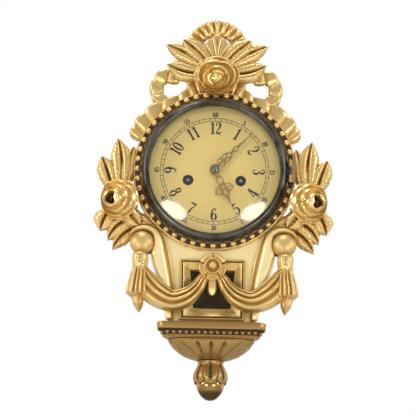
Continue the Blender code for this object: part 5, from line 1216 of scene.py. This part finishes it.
class CLOCK_OT_trunk(bpy.types.Operator):
    """Mitre the window's moulding and carve the rosette with its hanging leaf"""
    bl_idname = "clock.trunk"
    bl_label = "Trunk"

    def execute(self, context):
        outer = np.array(((-0.0375, -0.1775), (0.0375, -0.1775), (0.0375, -0.1065), (-0.0375, -0.1065), (-0.0375, -0.1775)))
        inner = np.array(((-0.022, -0.1638), (0.022, -0.1638), (0.026, -0.1186), (-0.026, -0.1186), (-0.022, -0.1638)))
        profile = np.array(FRAME_PROFILE)

        def moulding(u, v):
            row = v * (len(profile) - 1)
            share = np.interp(row, np.arange(len(profile)), profile[:, 0])
            rise = np.interp(row, np.arange(len(profile)), profile[:, 1])
            side = u * 4
            spots = [np.interp(side, np.arange(5), outer[:, i]) * (1 - share)
                     + np.interp(side, np.arange(5), inner[:, i]) * share for i in (0, 1)]
            # The groove in the moulding is marked dark: painted shade in it.
            return spots[0], FACE + 0.0058 * rise, spots[1], 0.88 * ((share > 0.166) & (share < 0.268) & (rise < 0.6))

        dressed(formed("window_moulding", 32, len(profile) - 1, moulding, 25.0), "case", "gilt_wood", ("window_frame",))
        sides = np.array(((-0.049, -0.1814), (0.049, -0.1814), (0.0630, -0.060), (-0.0630, -0.060), (-0.049, -0.1814)))
        sheet = np.array(((0.0, 0.0097), (0.0, 0.0), *((share, 0.0) for share in np.linspace(0.06, 1.0, 16)),
                          (1.0, 0.0097), (0.0, 0.0097)))

        def panel(u, v):
            row = v * (len(sheet) - 1)
            share = np.interp(row, np.arange(len(sheet)), sheet[:, 0])
            fall = np.interp(row, np.arange(len(sheet)), sheet[:, 1])
            side = u * 4
            spots = [np.interp(side, np.arange(5), sides[:, i]) * (1 - share)
                     + np.interp(side, np.arange(5), inner[:, i]) * share for i in (0, 1)]
            return spots[0], FACE - 0.0003 - fall, spots[1]

        drum = turned("drum_board", ((0.070, FACE - 0.0100), (0.0961, FACE - 0.0100), (0.0961, FACE - 0.0007),
                                     (0.070, FACE - 0.0007), (0.070, FACE - 0.0100)), 128)
        trunk = formed("trunk_board", 80, len(sheet) - 1, panel, 25.0)
        dressed(joined("front_board_gilt", [drum, trunk]), "case", "gilt_wood", ("front_board",), "gilt_pale")
        back = FACE + 0.0061
        form = np.array(ROSETTE_PROFILE)

        def flower(u, v):
            r, rise = curve(form, v).T
            r = r.clip(0)
            turn = u * math.tau
            slit = np.abs(np.cos(2.5 * (turn - math.radians(54) + math.pi / 5)))
            slit = np.exp(-((1 - slit) / 0.007) ** 2) * smooth(r, 0.60, 0.70) * (rise > 0.1)
            lobe = np.abs(np.sin(2.5 * (turn - math.radians(54) + math.pi / 5)))
            reach = 0.0166 * r * (1 - 0.035 * (1 - lobe ** 0.5) * smooth(r, 0.62, 1.0))
            depth = back + 0.017 * (rise - 0.16 * slit + 0.05 * lobe * smooth(r, 0.75, 0.95) * (rise > 0.3))
            hollow = np.exp(-((r - 0.31) / 0.05) ** 2) * (rise > 0.3)
            # The slits and the ring hollow are marked dark: painted shade in them.
            return (reach * np.cos(turn), depth, ROSETTE_Z + reach * np.sin(turn),
                    np.clip(0.8 * slit + 0.5 * hollow, 0, 0.9))

        dressed(formed("rosette_carved", 150, 76, flower, 45.0), "case", "gilt_wood", ("rosette",))
        top = ROSETTE_Z - 0.93 * 0.0166

        def tongue(u, v):
            ahead, s = faced(v, 0.8)
            width = 0.0056 * np.sqrt(np.clip(1 - np.clip((u - 0.45) / 0.55, 0, 1) ** 2.6, 0, 1)) * (0.86 + 0.14 * u)
            width = width * smooth(u, -0.12, 0.02)
            rise = 0.45 + 0.55 * np.sqrt(np.clip(1 - s ** 2, 0, 1)) - 0.10 * np.exp(-(s / 0.16) ** 2)
            rise = rise * (1 - 0.4 * u ** 3)
            depth = np.where(ahead, back + 0.001 + 0.006 * rise * smooth(width, 0.0, 0.002), back + 0.001)
            return s * width, depth, top - 0.0185 * u

        dressed(formed("hanging_leaf", 40, 24, tongue, 50.0), "case", "gilt_wood", ("drop_leaf",))
        return {"FINISHED"}


SWAG_KEYS = (
    (0.0838, -0.1140, 0.0050, 0.45, 0), (0.0808, -0.1255, 0.0100, 0.62, 0), (0.0745, -0.1385, 0.0150, 0.80, 0),
    (0.0635, -0.1497, 0.0154, 0.95, 0), (0.0470, -0.1575, 0.0130, 1.0, 0), (0.0310, -0.1535, 0.0118, 0.96, 0),
    (0.0195, -0.1440, 0.0094, 0.82, 0), (0.0128, -0.1330, 0.0070, 0.62, 0.0010), (0.0076, -0.1245, 0.0054, 0.32, 0.0056),
)
TASSEL_KEYS = (
    (0.0, 0.0, 0.0070, 0.010), (0.03, 0, 0.0090, 0.0125), (0.08, 0, 0.0096, 0.0135), (0.15, 0, 0.0094, 0.0135),
    (0.19, 0, 0.0088, 0.0125), (0.215, 0, 0.0086, 0.0120), (0.235, 0, 0.0092, 0.0128), (0.26, 0.0003, 0.0090, 0.0124),
    (0.28, 0.0004, 0.0084, 0.0118), (0.34, 0.0008, 0.0096, 0.0130), (0.45, 0.0014, 0.0110, 0.0145),
    (0.56, 0.0022, 0.0122, 0.0152), (0.66, 0.0026, 0.0131, 0.0158), (0.695, 0.0026, 0.0133, 0.0160),
    (0.715, 0.0026, 0.0104, 0.0128), (0.735, 0.0024, 0.0076, 0.0085), (0.78, 0.0018, 0.0070, 0.0082),
    (0.86, 0.0010, 0.0060, 0.0080), (0.93, 0.0004, 0.0036, 0.0052), (1.0, 0, 0.0004, 0.002),
)
SWAG_VALLEYS = (-1.0, -0.66, -0.16, 0.34, 1.0)
SWAG_CROWNS = (0.58, 0.88, 1.0, 0.76)


def swag_folds(u, v):
    """Cloth gathered at the rosette and opened toward the tassel: rounded folds with sharp valleys."""
    ahead, s = faced(v, 0.86)
    shift = 0.10 * np.sin(2.6 * u + 0.4) * (1 - s * s)
    at = np.clip(s + shift, -1, 1)
    fold = np.zeros_like(s)
    for low, high, crown in zip(SWAG_VALLEYS, SWAG_VALLEYS[1:], SWAG_CROWNS):
        share = np.clip((at - low) / (high - low), 0, 1)
        inside = (at >= low) & (at <= high)
        ripple = 0.07 * np.abs(np.sin(math.pi * (2 * share + 0.7 * u)))
        fold = np.where(inside, crown * (np.sin(math.pi * share) ** 0.55 - ripple * np.sin(math.pi * share)), fold)
    dome = np.sqrt(np.clip(1 - np.abs(s) ** 3, 0, 1))
    rise = 0.14 + dome * (0.30 + 0.56 * fold)
    return s, np.where(ahead, rise, 0.0)


def tassel_pleats(u, v):
    """A tassel's section: turned collar and ring, then a pleated skirt and a pointed tail."""
    ahead, s = faced(v, 0.84)
    skirt = smooth(u, 0.36, 0.50) * (1 - smooth(u, 0.68, 0.70))
    tail = smooth(u, 0.74, 0.78)
    collar = 1 - smooth(u, 0.16, 0.24)
    dome = np.sqrt(np.clip(1 - np.abs(s) ** 2.3, 0, 1))
    pleat = np.abs(np.sin(math.pi * (2.4 * s + 0.25 + 0.1 * np.sin(5 * s)))) ** 0.7
    rib = np.abs(np.sin(math.pi * (1.5 * s + 0.5))) ** 0.5
    ridge = np.exp(-(s / 0.22) ** 2)
    rise = 0.28 + dome * (0.72 - 0.22 * skirt - 0.10 * collar - 0.2 * tail)
    rise = rise + dome * (0.22 * pleat * skirt + 0.03 * rib * collar + 0.2 * ridge * tail)
    return s, np.where(ahead, rise, 0.0)


class CLOCK_OT_drapery(bpy.types.Operator):
    """Carve the swags of cloth and the tassels at their ends"""
    bl_idname = "clock.drapery"
    bl_label = "Drapery"

    def execute(self, context):
        for side, sign in SIDES:
            keys = [(x, z, half, SWAG_BACK - dip, 0.017 * share) for x, z, half, share, dip in SWAG_KEYS]
            dressed(band("swag_carved_" + side, keys, swag_folds, 110, 64, sign, 0.03, 60.0), "case", "gilt_wood",
                    ("swag_" + side,))
            top = VOLUTE[1] - 0.0122
            keys = [(0.0844 + shift, top - 0.0702 * fall, half, FACE + 0.007, deep + 0.006)
                    for fall, shift, half, deep in TASSEL_KEYS]
            dressed(band("tassel_carved_" + side, keys, tassel_pleats, 170, 56, sign, 0.012, 50.0), "case", "gilt_wood",
                    ("tassel_" + side,))
        return {"FINISHED"}


SHELF_PROFILE = (
    (0.0, 0.0030), (0.02, 0.0012), (0.06, 0.0003), (0.12, 0.0), (0.40, 0.0004), (0.47, 0.0012), (0.505, 0.0026),
    (0.51, 0.0056), (0.66, 0.0066), (0.80, 0.0078), (0.815, 0.0066), (0.86, 0.0064), (0.90, 0.0070), (0.92, 0.0086),
    (0.96, 0.0086), (1.0, 0.0105),
)


def shelf_edge(inset, corner=0.010):
    """Points round the shelf in plan: beside the trunk at the back, standing out to rounded corners at the front."""
    half, front, side = 0.063 - inset, 0.092 - inset, 0.0512 - 0.5 * inset
    points = [(-side, 0.0)]
    for index in range(9):
        share = index / 8
        points.append((-side - (half - side) * share * share * (3 - 2 * share), 0.050 + 0.016 * share))
    for index in range(13):
        turn = math.pi - math.pi / 2 * index / 12
        points.append((corner - half + corner * math.cos(turn), front - corner + corner * math.sin(turn)))
    points += [(-x, depth) for x, depth in reversed(points)]
    return np.array(points)


class CLOCK_OT_base(bpy.types.Operator):
    """Carve the base: moulded shelf with its beads, gadrooned bowl and budded finial"""
    bl_idname = "clock.base"
    bl_label = "Base"

    def execute(self, context):
        rows = np.array(SHELF_PROFILE)
        count = len(shelf_edge(0.0))

        def shelf(u, v):
            fall = np.interp(v * (len(rows) + 1), np.arange(len(rows) + 2), [0, *rows[:, 0], 1])
            inset = np.interp(v * (len(rows) + 1), np.arange(len(rows) + 2), [0, *rows[:, 1], 0])
            cap = np.where((v < 0.5 / (len(rows) + 1)) | (v > 1 - 0.5 / (len(rows) + 1)), 0.0, 1.0)
            x = np.empty_like(u)
            depth = np.empty_like(u)
            for value in np.unique(inset):
                rowed = inset == value
                edge = np.vstack([shelf_edge(value), shelf_edge(value)[:1]])
                x[rowed] = np.interp(u[rowed] * count, np.arange(count + 1), edge[:, 0])
                depth[rowed] = np.interp(u[rowed] * count, np.arange(count + 1), edge[:, 1])
            return x * cap, 0.046 + (depth - 0.046) * cap, SHELF_TOP - 0.018 * fall

        board = formed("shelf_board", count, len(rows) + 1, shelf, 28.0)
        board.data.materials.append(finishes()["gilt_wood_dark"])
        board.data.materials.append(finishes()["bole"])
        for face in board.data.polygons:
            share = (SHELF_TOP - face.center.z) / 0.018
            face.material_index = int(0.48 < share < 0.81)
        bead_z = SHELF_TOP - 0.66 * 0.018
        knob = turned("shelf_bead", ((0.0, 0.0026), (0.0012, 0.0023), (0.0021, 0.0014), (0.0024, 0.0), (0.0018, -0.0012),
                                     (0.0, -0.0016)), 12)
        knob.data.materials.append(finishes()["gilt_wood_dark"])
        moves = []
        for index in range(15):
            moves.append(Matrix.Translation((0.0505 * (2 * index / 14 - 1), -(0.092 - 0.0066), bead_z)))
        for sign in (-1, 1):
            for index in range(2):
                depth = 0.0795 - 0.0073 * index
                moves.append(Matrix.Translation((sign * (0.063 - 0.0066), -depth, bead_z))
                             @ Matrix.Rotation(sign * math.pi / 2, 4, "Z"))
        dressed(joined("shelf_carved", [board] + copied(knob, moves)), "case", "gilt_wood_dark", ("base_shelf",))

        def bowl(u, v):
            share = np.clip(v / 0.94, 0, 1)
            turn = u * math.tau
            spread = np.clip(1 - share ** 1.6, 0, 1) ** 0.75
            ahead = np.sin(turn)
            front = np.where(ahead > 0, 0.0805 - FINIAL_DEPTH, FINIAL_DEPTH - 0.001)
            square = 2.0 + 3.5 * (1 - smooth(share, 0.0, 0.6))
            corner = (np.abs(np.cos(turn)) ** square + np.abs(ahead) ** square) ** (-1 / square)
            away = np.abs(((u - 0.25) * 20 + 0.5) % 1.0 - 0.5)
            lens = 0.17 * np.sin(math.pi * np.clip((share - 0.14) / 0.80, 0, 1)) ** 0.6 + 0.02
            run = smooth(share, 0.12, 0.20) * (1 - smooth(share, 0.90, 0.97))
            groove = np.clip(1 - (away / lens) ** 2, 0, 1) * run
            edge = np.exp(-((away - lens) / 0.055) ** 2) * run
            lobe = (1 - 0.105 * groove + 0.022 * edge) * corner
            lip = 1 - 0.012 * np.exp(-((share - 0.06) / 0.02) ** 2)
            r_x = (0.016 + (0.0515 - 0.016) * spread) * lobe * lip
            r_d = (0.016 + (front - 0.016) * spread) * lobe * lip
            cap = np.where(v > 0.97, 0.0, 1.0)
            cap = np.where(v < 0.5 / 60, 0.0, cap)
            level = BOWL_TOP - 0.0202 * share
            depth = FINIAL_DEPTH + r_d * ahead
            drawn = 1 - 0.24 * (1 - share) * np.clip((0.064 - depth) / 0.060, 0, 1)
            # The flutes are marked a little dark: painted shade in them.
            return cap * r_x * drawn * np.cos(turn), FINIAL_DEPTH + cap * r_d * ahead, level, 0.42 * groove

        dressed(formed("bowl_gadrooned", 240, 60, bowl, 50.0), "case", "gilt_wood_dark", ("gadroon_bowl",))

        def cup(u, v):
            turn = u * math.tau
            outer = v <= 0.62
            t = np.where(outer, v / 0.62, (1 - v) / 0.38)
            lobe = np.abs(np.cos(3.5 * (turn - math.pi / 2)))
            hem = 0.52 + 0.075 * lobe ** 0.8
            fall = t * hem
            r = curve(((1.0,), (0.93,), (1.06,), (1.18,), (1.26,), (1.25,), (1.14,)), t)[:, 0]
            groove = smooth(lobe, 0.90, 0.97) * smooth(t, 0.04, 0.16) * (1 - smooth(t, 0.78, 0.90))
            gap = np.exp(-(lobe / 0.16) ** 2) * smooth(t, 0.1, 0.4)
            r = r * (1 - 0.085 * groove - 0.07 * gap)
            r = np.where(outer, r, r * (1 - 0.10 * np.sin(math.pi * t)) - 0.06 * (1 - t))
            r = np.where(v > 0.999, 0.0, r)
            r = np.where(v < 1e-6, 0.0, r)
            reach = 0.016 * r
            level = FINIAL_TOP - 0.0466 * fall
            # The grooves and the gaps between the lobes are marked dark: painted shade in them.
            return (reach * np.cos(turn), FINIAL_DEPTH + reach * np.sin(turn), level,
                    np.clip(0.95 * groove + 0.6 * gap, 0, 0.95) * outer)

        bud_rows = np.array(((0.0, 0.30), (0.70, 0.30), (0.96, 0.46), (1.03, 0.60), (0.98, 0.70), (0.84, 0.80),
                             (0.62, 0.895), (0.34, 0.97), (0.0, 1.0)))

        def bud(u, v):
            r, fall = curve(bud_rows, v).T
            r = r.clip(0) * 0.016
            # The bud's lower part is marked dark: a painted dark reflection and shade.
            return (r * np.cos(u * math.tau), FINIAL_DEPTH + r * np.sin(u * math.tau), FINIAL_TOP - 0.0466 * fall,
                    0.95 * smooth(fall, 0.64, 0.84))

        parts = [formed("leaf_cup", 192, 60, cup, 45.0), formed("bud", 72, 40, bud, 60.0)]
        for part, look in zip(parts, ("gilt_wood_dark", "gilt_bud")):
            part.data.materials.append(finishes()[look])
        dressed(joined("finial_carved", parts), "case", "gilt_wood_dark", ("finial",))
        return {"FINISHED"}


NODE_FINISHES = {
    "case_wood": ("case_shell",),
    "back_wood": ("back_cover", "hanging_rail"),
    "patinated_brass": ("hinge_leaf", "glass_retainer"),
    "steel": ("back_cover_screw_left", "back_cover_screw_right", "back_cover_screw_foot", "hanger_plate",
              "hanger_screw_left", "hanger_screw_right", "time_winding_arbor", "strike_winding_arbor", "pallet_anchor",
              "gong"),
    "brass": ("movement_back_plate", "movement_front_plate", "time_barrel", "strike_barrel", "centre_wheel",
              "third_wheel", "escape_wheel", "minute_wheel", "hour_wheel", "strike_wheel", "pendulum", "hammer"),
}


# The pendulum takes shaded_brass: a dull, dark brass painted as the shade it hangs in.
NODE_LOOKS = {"pendulum": "shaded_brass", "hinge_leaf": "hand_brass"}


class CLOCK_OT_case(bpy.types.Operator):
    """Finish the case, its back and the movement, which keep the frame's own shapes"""
    bl_idname = "clock.case"
    bl_label = "Case and movement"

    def execute(self, context):
        for slot, nodes in NODE_FINISHES.items():
            for name in nodes:
                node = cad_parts[name]
                node.data.materials.clear()
                node.data.materials.append(finishes()[NODE_LOOKS.get(name, slot)])
        return {"FINISHED"}


class CLOCK_OT_toning(bpy.types.Operator):
    """Measure how open each place of the gilded carving is, for the painted shade and toning of its colour"""
    bl_idname = "clock.toning"
    bl_label = "Toning"

    def execute(self, context):
        gilded = [o for o in bpy.data.objects if o.type == "MESH" and not o.hide_render and o.data.materials
                  and o.data.materials[0].name.startswith("gilt_")]
        points, faces, first = [], [], 0
        for obj in gilded:
            co = np.empty(len(obj.data.vertices) * 3)
            obj.data.vertices.foreach_get("co", co)
            points.append(co.reshape(-1, 3))
            for face in obj.data.polygons:
                faces.append([first + index for index in face.vertices])
            first += len(obj.data.vertices)
        tree = BVHTree.FromPolygons([tuple(p) for p in np.vstack(points)], faces)
        spread = []
        rays = 18
        for index in range(rays):
            height = 0.12 + 0.86 * (index + 0.5) / rays
            turn = index * 2.39996
            flat = math.sqrt(1 - height * height)
            spread.append((flat * math.cos(turn), flat * math.sin(turn), height))
        reach = 0.009
        for obj, co in zip(gilded, points):
            normals = np.empty(len(co) * 3)
            obj.data.vertices.foreach_get("normal", normals)
            normals = normals.reshape(-1, 3)
            openness = np.empty(len(co), np.float32)
            for index in range(len(co)):
                normal = Vector(normals[index])
                side = normal.orthogonal().normalized()
                other = normal.cross(side)
                start = Vector(co[index]) + normal * 0.0003
                free = 0.0
                for a, b, c in spread:
                    hit = tree.ray_cast(start, side * a + other * b + normal * c, reach)[3]
                    free += 1.0 if hit is None else (hit / reach) ** 0.8 * 0.8
                openness[index] = free / rays
            # Shade marks darken the openness further: painted shade in slits, hollows and other marked places.
            cut = obj.data.attributes.get("cut")
            if cut:
                marks = np.empty(len(co), np.float32)
                cut.data.foreach_get("value", marks)
                openness *= 1 - marks
            layer = obj.data.attributes.get("toning") or obj.data.attributes.new("toning", "FLOAT", "POINT")
            layer.data.foreach_set("value", openness)
        return {"FINISHED"}


def area_lamp(name, place, size, power, roll=0.0):
    """A soft light that looks at the dial."""
    data = bpy.data.lights.new(name, "AREA")
    data.shape = "ELLIPSE"
    data.size, data.size_y = size
    data.energy = power
    lamp = bpy.data.objects.new(name, data)
    bpy.context.scene.collection.objects.link(lamp)
    lamp.location = place
    aim = (Vector((0, -0.07, -0.02)) - Vector(place)).to_track_quat("-Z", "Y").to_matrix()
    lamp.rotation_euler = (aim @ Matrix.Rotation(math.radians(roll), 3, "Z")).to_euler()
    return lamp


def photo_camera():
    """The camera of the photograph: slightly from below, a long lens, turned a little."""
    pixels = 416.0
    focal = 2042.6
    distance = 2.4
    low = math.radians(-12.0)
    roll = math.radians(1.2)
    target = Vector((0.0, -0.072, 0.0))
    seen = (214.6, 170.6)
    back = Vector((0.0, -math.cos(low), math.sin(low)))
    right = Vector((1.0, 0.0, 0.0))
    up = back.cross(right)
    side = right * math.cos(roll) + up * math.sin(roll)
    rise = up * math.cos(roll) - right * math.sin(roll)
    dx = (seen[0] - pixels / 2) / focal * distance
    dy = -(seen[1] - pixels / 2) / focal * distance
    data = bpy.data.cameras.new("photo_camera")
    data.sensor_width = 36.0
    data.lens = focal * data.sensor_width / pixels
    data.clip_end = 20.0
    camera = bpy.data.objects.new("photo_camera", data)
    bpy.context.scene.collection.objects.link(camera)
    where = target + back * distance - side * dx - rise * dy
    turn = Matrix((side, rise, back)).transposed().to_4x4()
    camera.matrix_world = Matrix.Translation(where) @ turn
    bpy.context.scene.camera = camera


class CLOCK_OT_stage(bpy.types.Operator):
    """Set the camera, soft lamps, white surroundings and a pale floor"""
    bl_idname = "clock.stage"
    bl_label = "Stage"

    def execute(self, context):
        scene = context.scene
        scene.view_settings.view_transform = "Standard"
        photo_camera()
        area_lamp("top_box", (-0.3, -0.42, 2.3), (1.3, 1.0), 24.0)
        area_lamp("side_box_left", (-2.0, -0.9, 0.45), (0.8, 1.1), 11.0)
        area_lamp("side_box_right", (2.0, -0.9, 0.45), (0.8, 1.1), 9.0)
        area_lamp("low_box_left", (-0.80, -1.36, -0.52), (0.60, 0.30), 4.0, -35.0)
        area_lamp("low_box_right", (0.80, -1.36, -0.52), (0.60, 0.30), 4.0, 35.0)
        fill = area_lamp("front_fill", (0.0, -2.6, 0.6), (1.6, 1.6), 24.0)
        fill.visible_glossy = False
        world = bpy.data.worlds.new("studio")
        scene.world = world
        world.use_nodes = True
        tree = world.node_tree
        tree.nodes.clear()
        path = tree.nodes.new("ShaderNodeLightPath")
        place = tree.nodes.new("ShaderNodeTexCoord")
        split = tree.nodes.new("ShaderNodeSeparateXYZ")
        tree.links.new(place.outputs["Generated"], split.inputs[0])
        behind = tree.nodes.new("ShaderNodeMapRange")
        behind.inputs["From Min"].default_value = -0.7
        behind.inputs["From Max"].default_value = 0.5
        behind.inputs["To Min"].default_value = 0.32
        behind.inputs["To Max"].default_value = 1.0
        tree.links.new(split.outputs["Y"], behind.inputs["Value"])
        mirrored = tree.nodes.new("ShaderNodeMath")
        mirrored.operation = "MULTIPLY_ADD"
        tree.links.new(path.outputs["Is Glossy Ray"], mirrored.inputs[0])
        tree.links.new(behind.outputs["Result"], mirrored.inputs[1])
        mirrored.inputs[2].default_value = 0.0
        seen = tree.nodes.new("ShaderNodeMath")
        seen.operation = "MAXIMUM"
        tree.links.new(path.outputs["Is Camera Ray"], seen.inputs[0])
        tree.links.new(path.outputs["Is Transmission Ray"], seen.inputs[1])
        shown = tree.nodes.new("ShaderNodeMath")
        shown.operation = "MAXIMUM"
        tree.links.new(seen.outputs[0], shown.inputs[0])
        tree.links.new(mirrored.outputs[0], shown.inputs[1])
        strength = tree.nodes.new("ShaderNodeMath")
        strength.operation = "MAXIMUM"
        tree.links.new(shown.outputs[0], strength.inputs[0])
        strength.inputs[1].default_value = 0.45
        sky = tree.nodes.new("ShaderNodeBackground")
        tree.links.new(strength.outputs[0], sky.inputs["Strength"])
        sky.inputs["Color"].default_value = (1.0, 1.0, 1.0, 1.0)
        out = tree.nodes.new("ShaderNodeOutputWorld")
        tree.links.new(sky.outputs[0], out.inputs["Surface"])
        bpy.ops.object.select_all(action="DESELECT")
        bpy.ops.mesh.primitive_plane_add(size=9.0, location=(0.0, 0.0, -1.35))
        floor = context.object
        floor.name = "pale_floor"
        finish = Finish("floor_paint")
        cloud = finish.noise(3.0, 2.0)
        tone = finish.ramp(cloud, ((0.3, (0.80, 0.80, 0.79)), (0.7, (0.84, 0.84, 0.83))))
        floor.data.materials.append(finish.surface(tone, 0.7 + cloud * 0.1, 0.0))
        return {"FINISHED"}


STEPS = (CLOCK_OT_stage, CLOCK_OT_case, CLOCK_OT_crest, CLOCK_OT_side_sprays, CLOCK_OT_bead_ring, CLOCK_OT_bezel,
         CLOCK_OT_dial, CLOCK_OT_hands, CLOCK_OT_scrolls, CLOCK_OT_trunk, CLOCK_OT_drapery, CLOCK_OT_base,
         CLOCK_OT_toning)


class CLOCK_PT_panel(bpy.types.Panel):
    """Lists the steps and the clock's sizes and colours"""
    bl_idname = "CLOCK_PT_panel"
    bl_label = "Carved wall clock"
    bl_space_type = "VIEW_3D"
    bl_region_type = "UI"
    bl_category = "Clock"

    def draw(self, context):
        for step in STEPS:
            self.layout.operator(step.bl_idname)
        for group in (context.scene.clock_sizes, context.scene.clock_colours):
            for name in group.__annotations__:
                self.layout.prop(group, name)


CLASSES = (ClockSizes, ClockColours, *STEPS, CLOCK_PT_panel)


def register():
    for kind in CLASSES:
        bpy.utils.register_class(kind)
    bpy.types.Scene.clock_sizes = PointerProperty(type=ClockSizes)
    bpy.types.Scene.clock_colours = PointerProperty(type=ClockColours)


def unregister():
    del bpy.types.Scene.clock_colours
    del bpy.types.Scene.clock_sizes
    for kind in reversed(CLASSES):
        bpy.utils.unregister_class(kind)


def main():
    register()
    bpy.ops.clock.stage()
    bpy.ops.clock.case()
    bpy.ops.clock.crest()
    bpy.ops.clock.side_sprays()
    bpy.ops.clock.bead_ring()
    bpy.ops.clock.bezel()
    bpy.ops.clock.dial()
    bpy.ops.clock.hands()
    bpy.ops.clock.scrolls()
    bpy.ops.clock.trunk()
    bpy.ops.clock.drapery()
    bpy.ops.clock.base()
    bpy.ops.clock.toning()


if __name__ == "__main__":
    main()
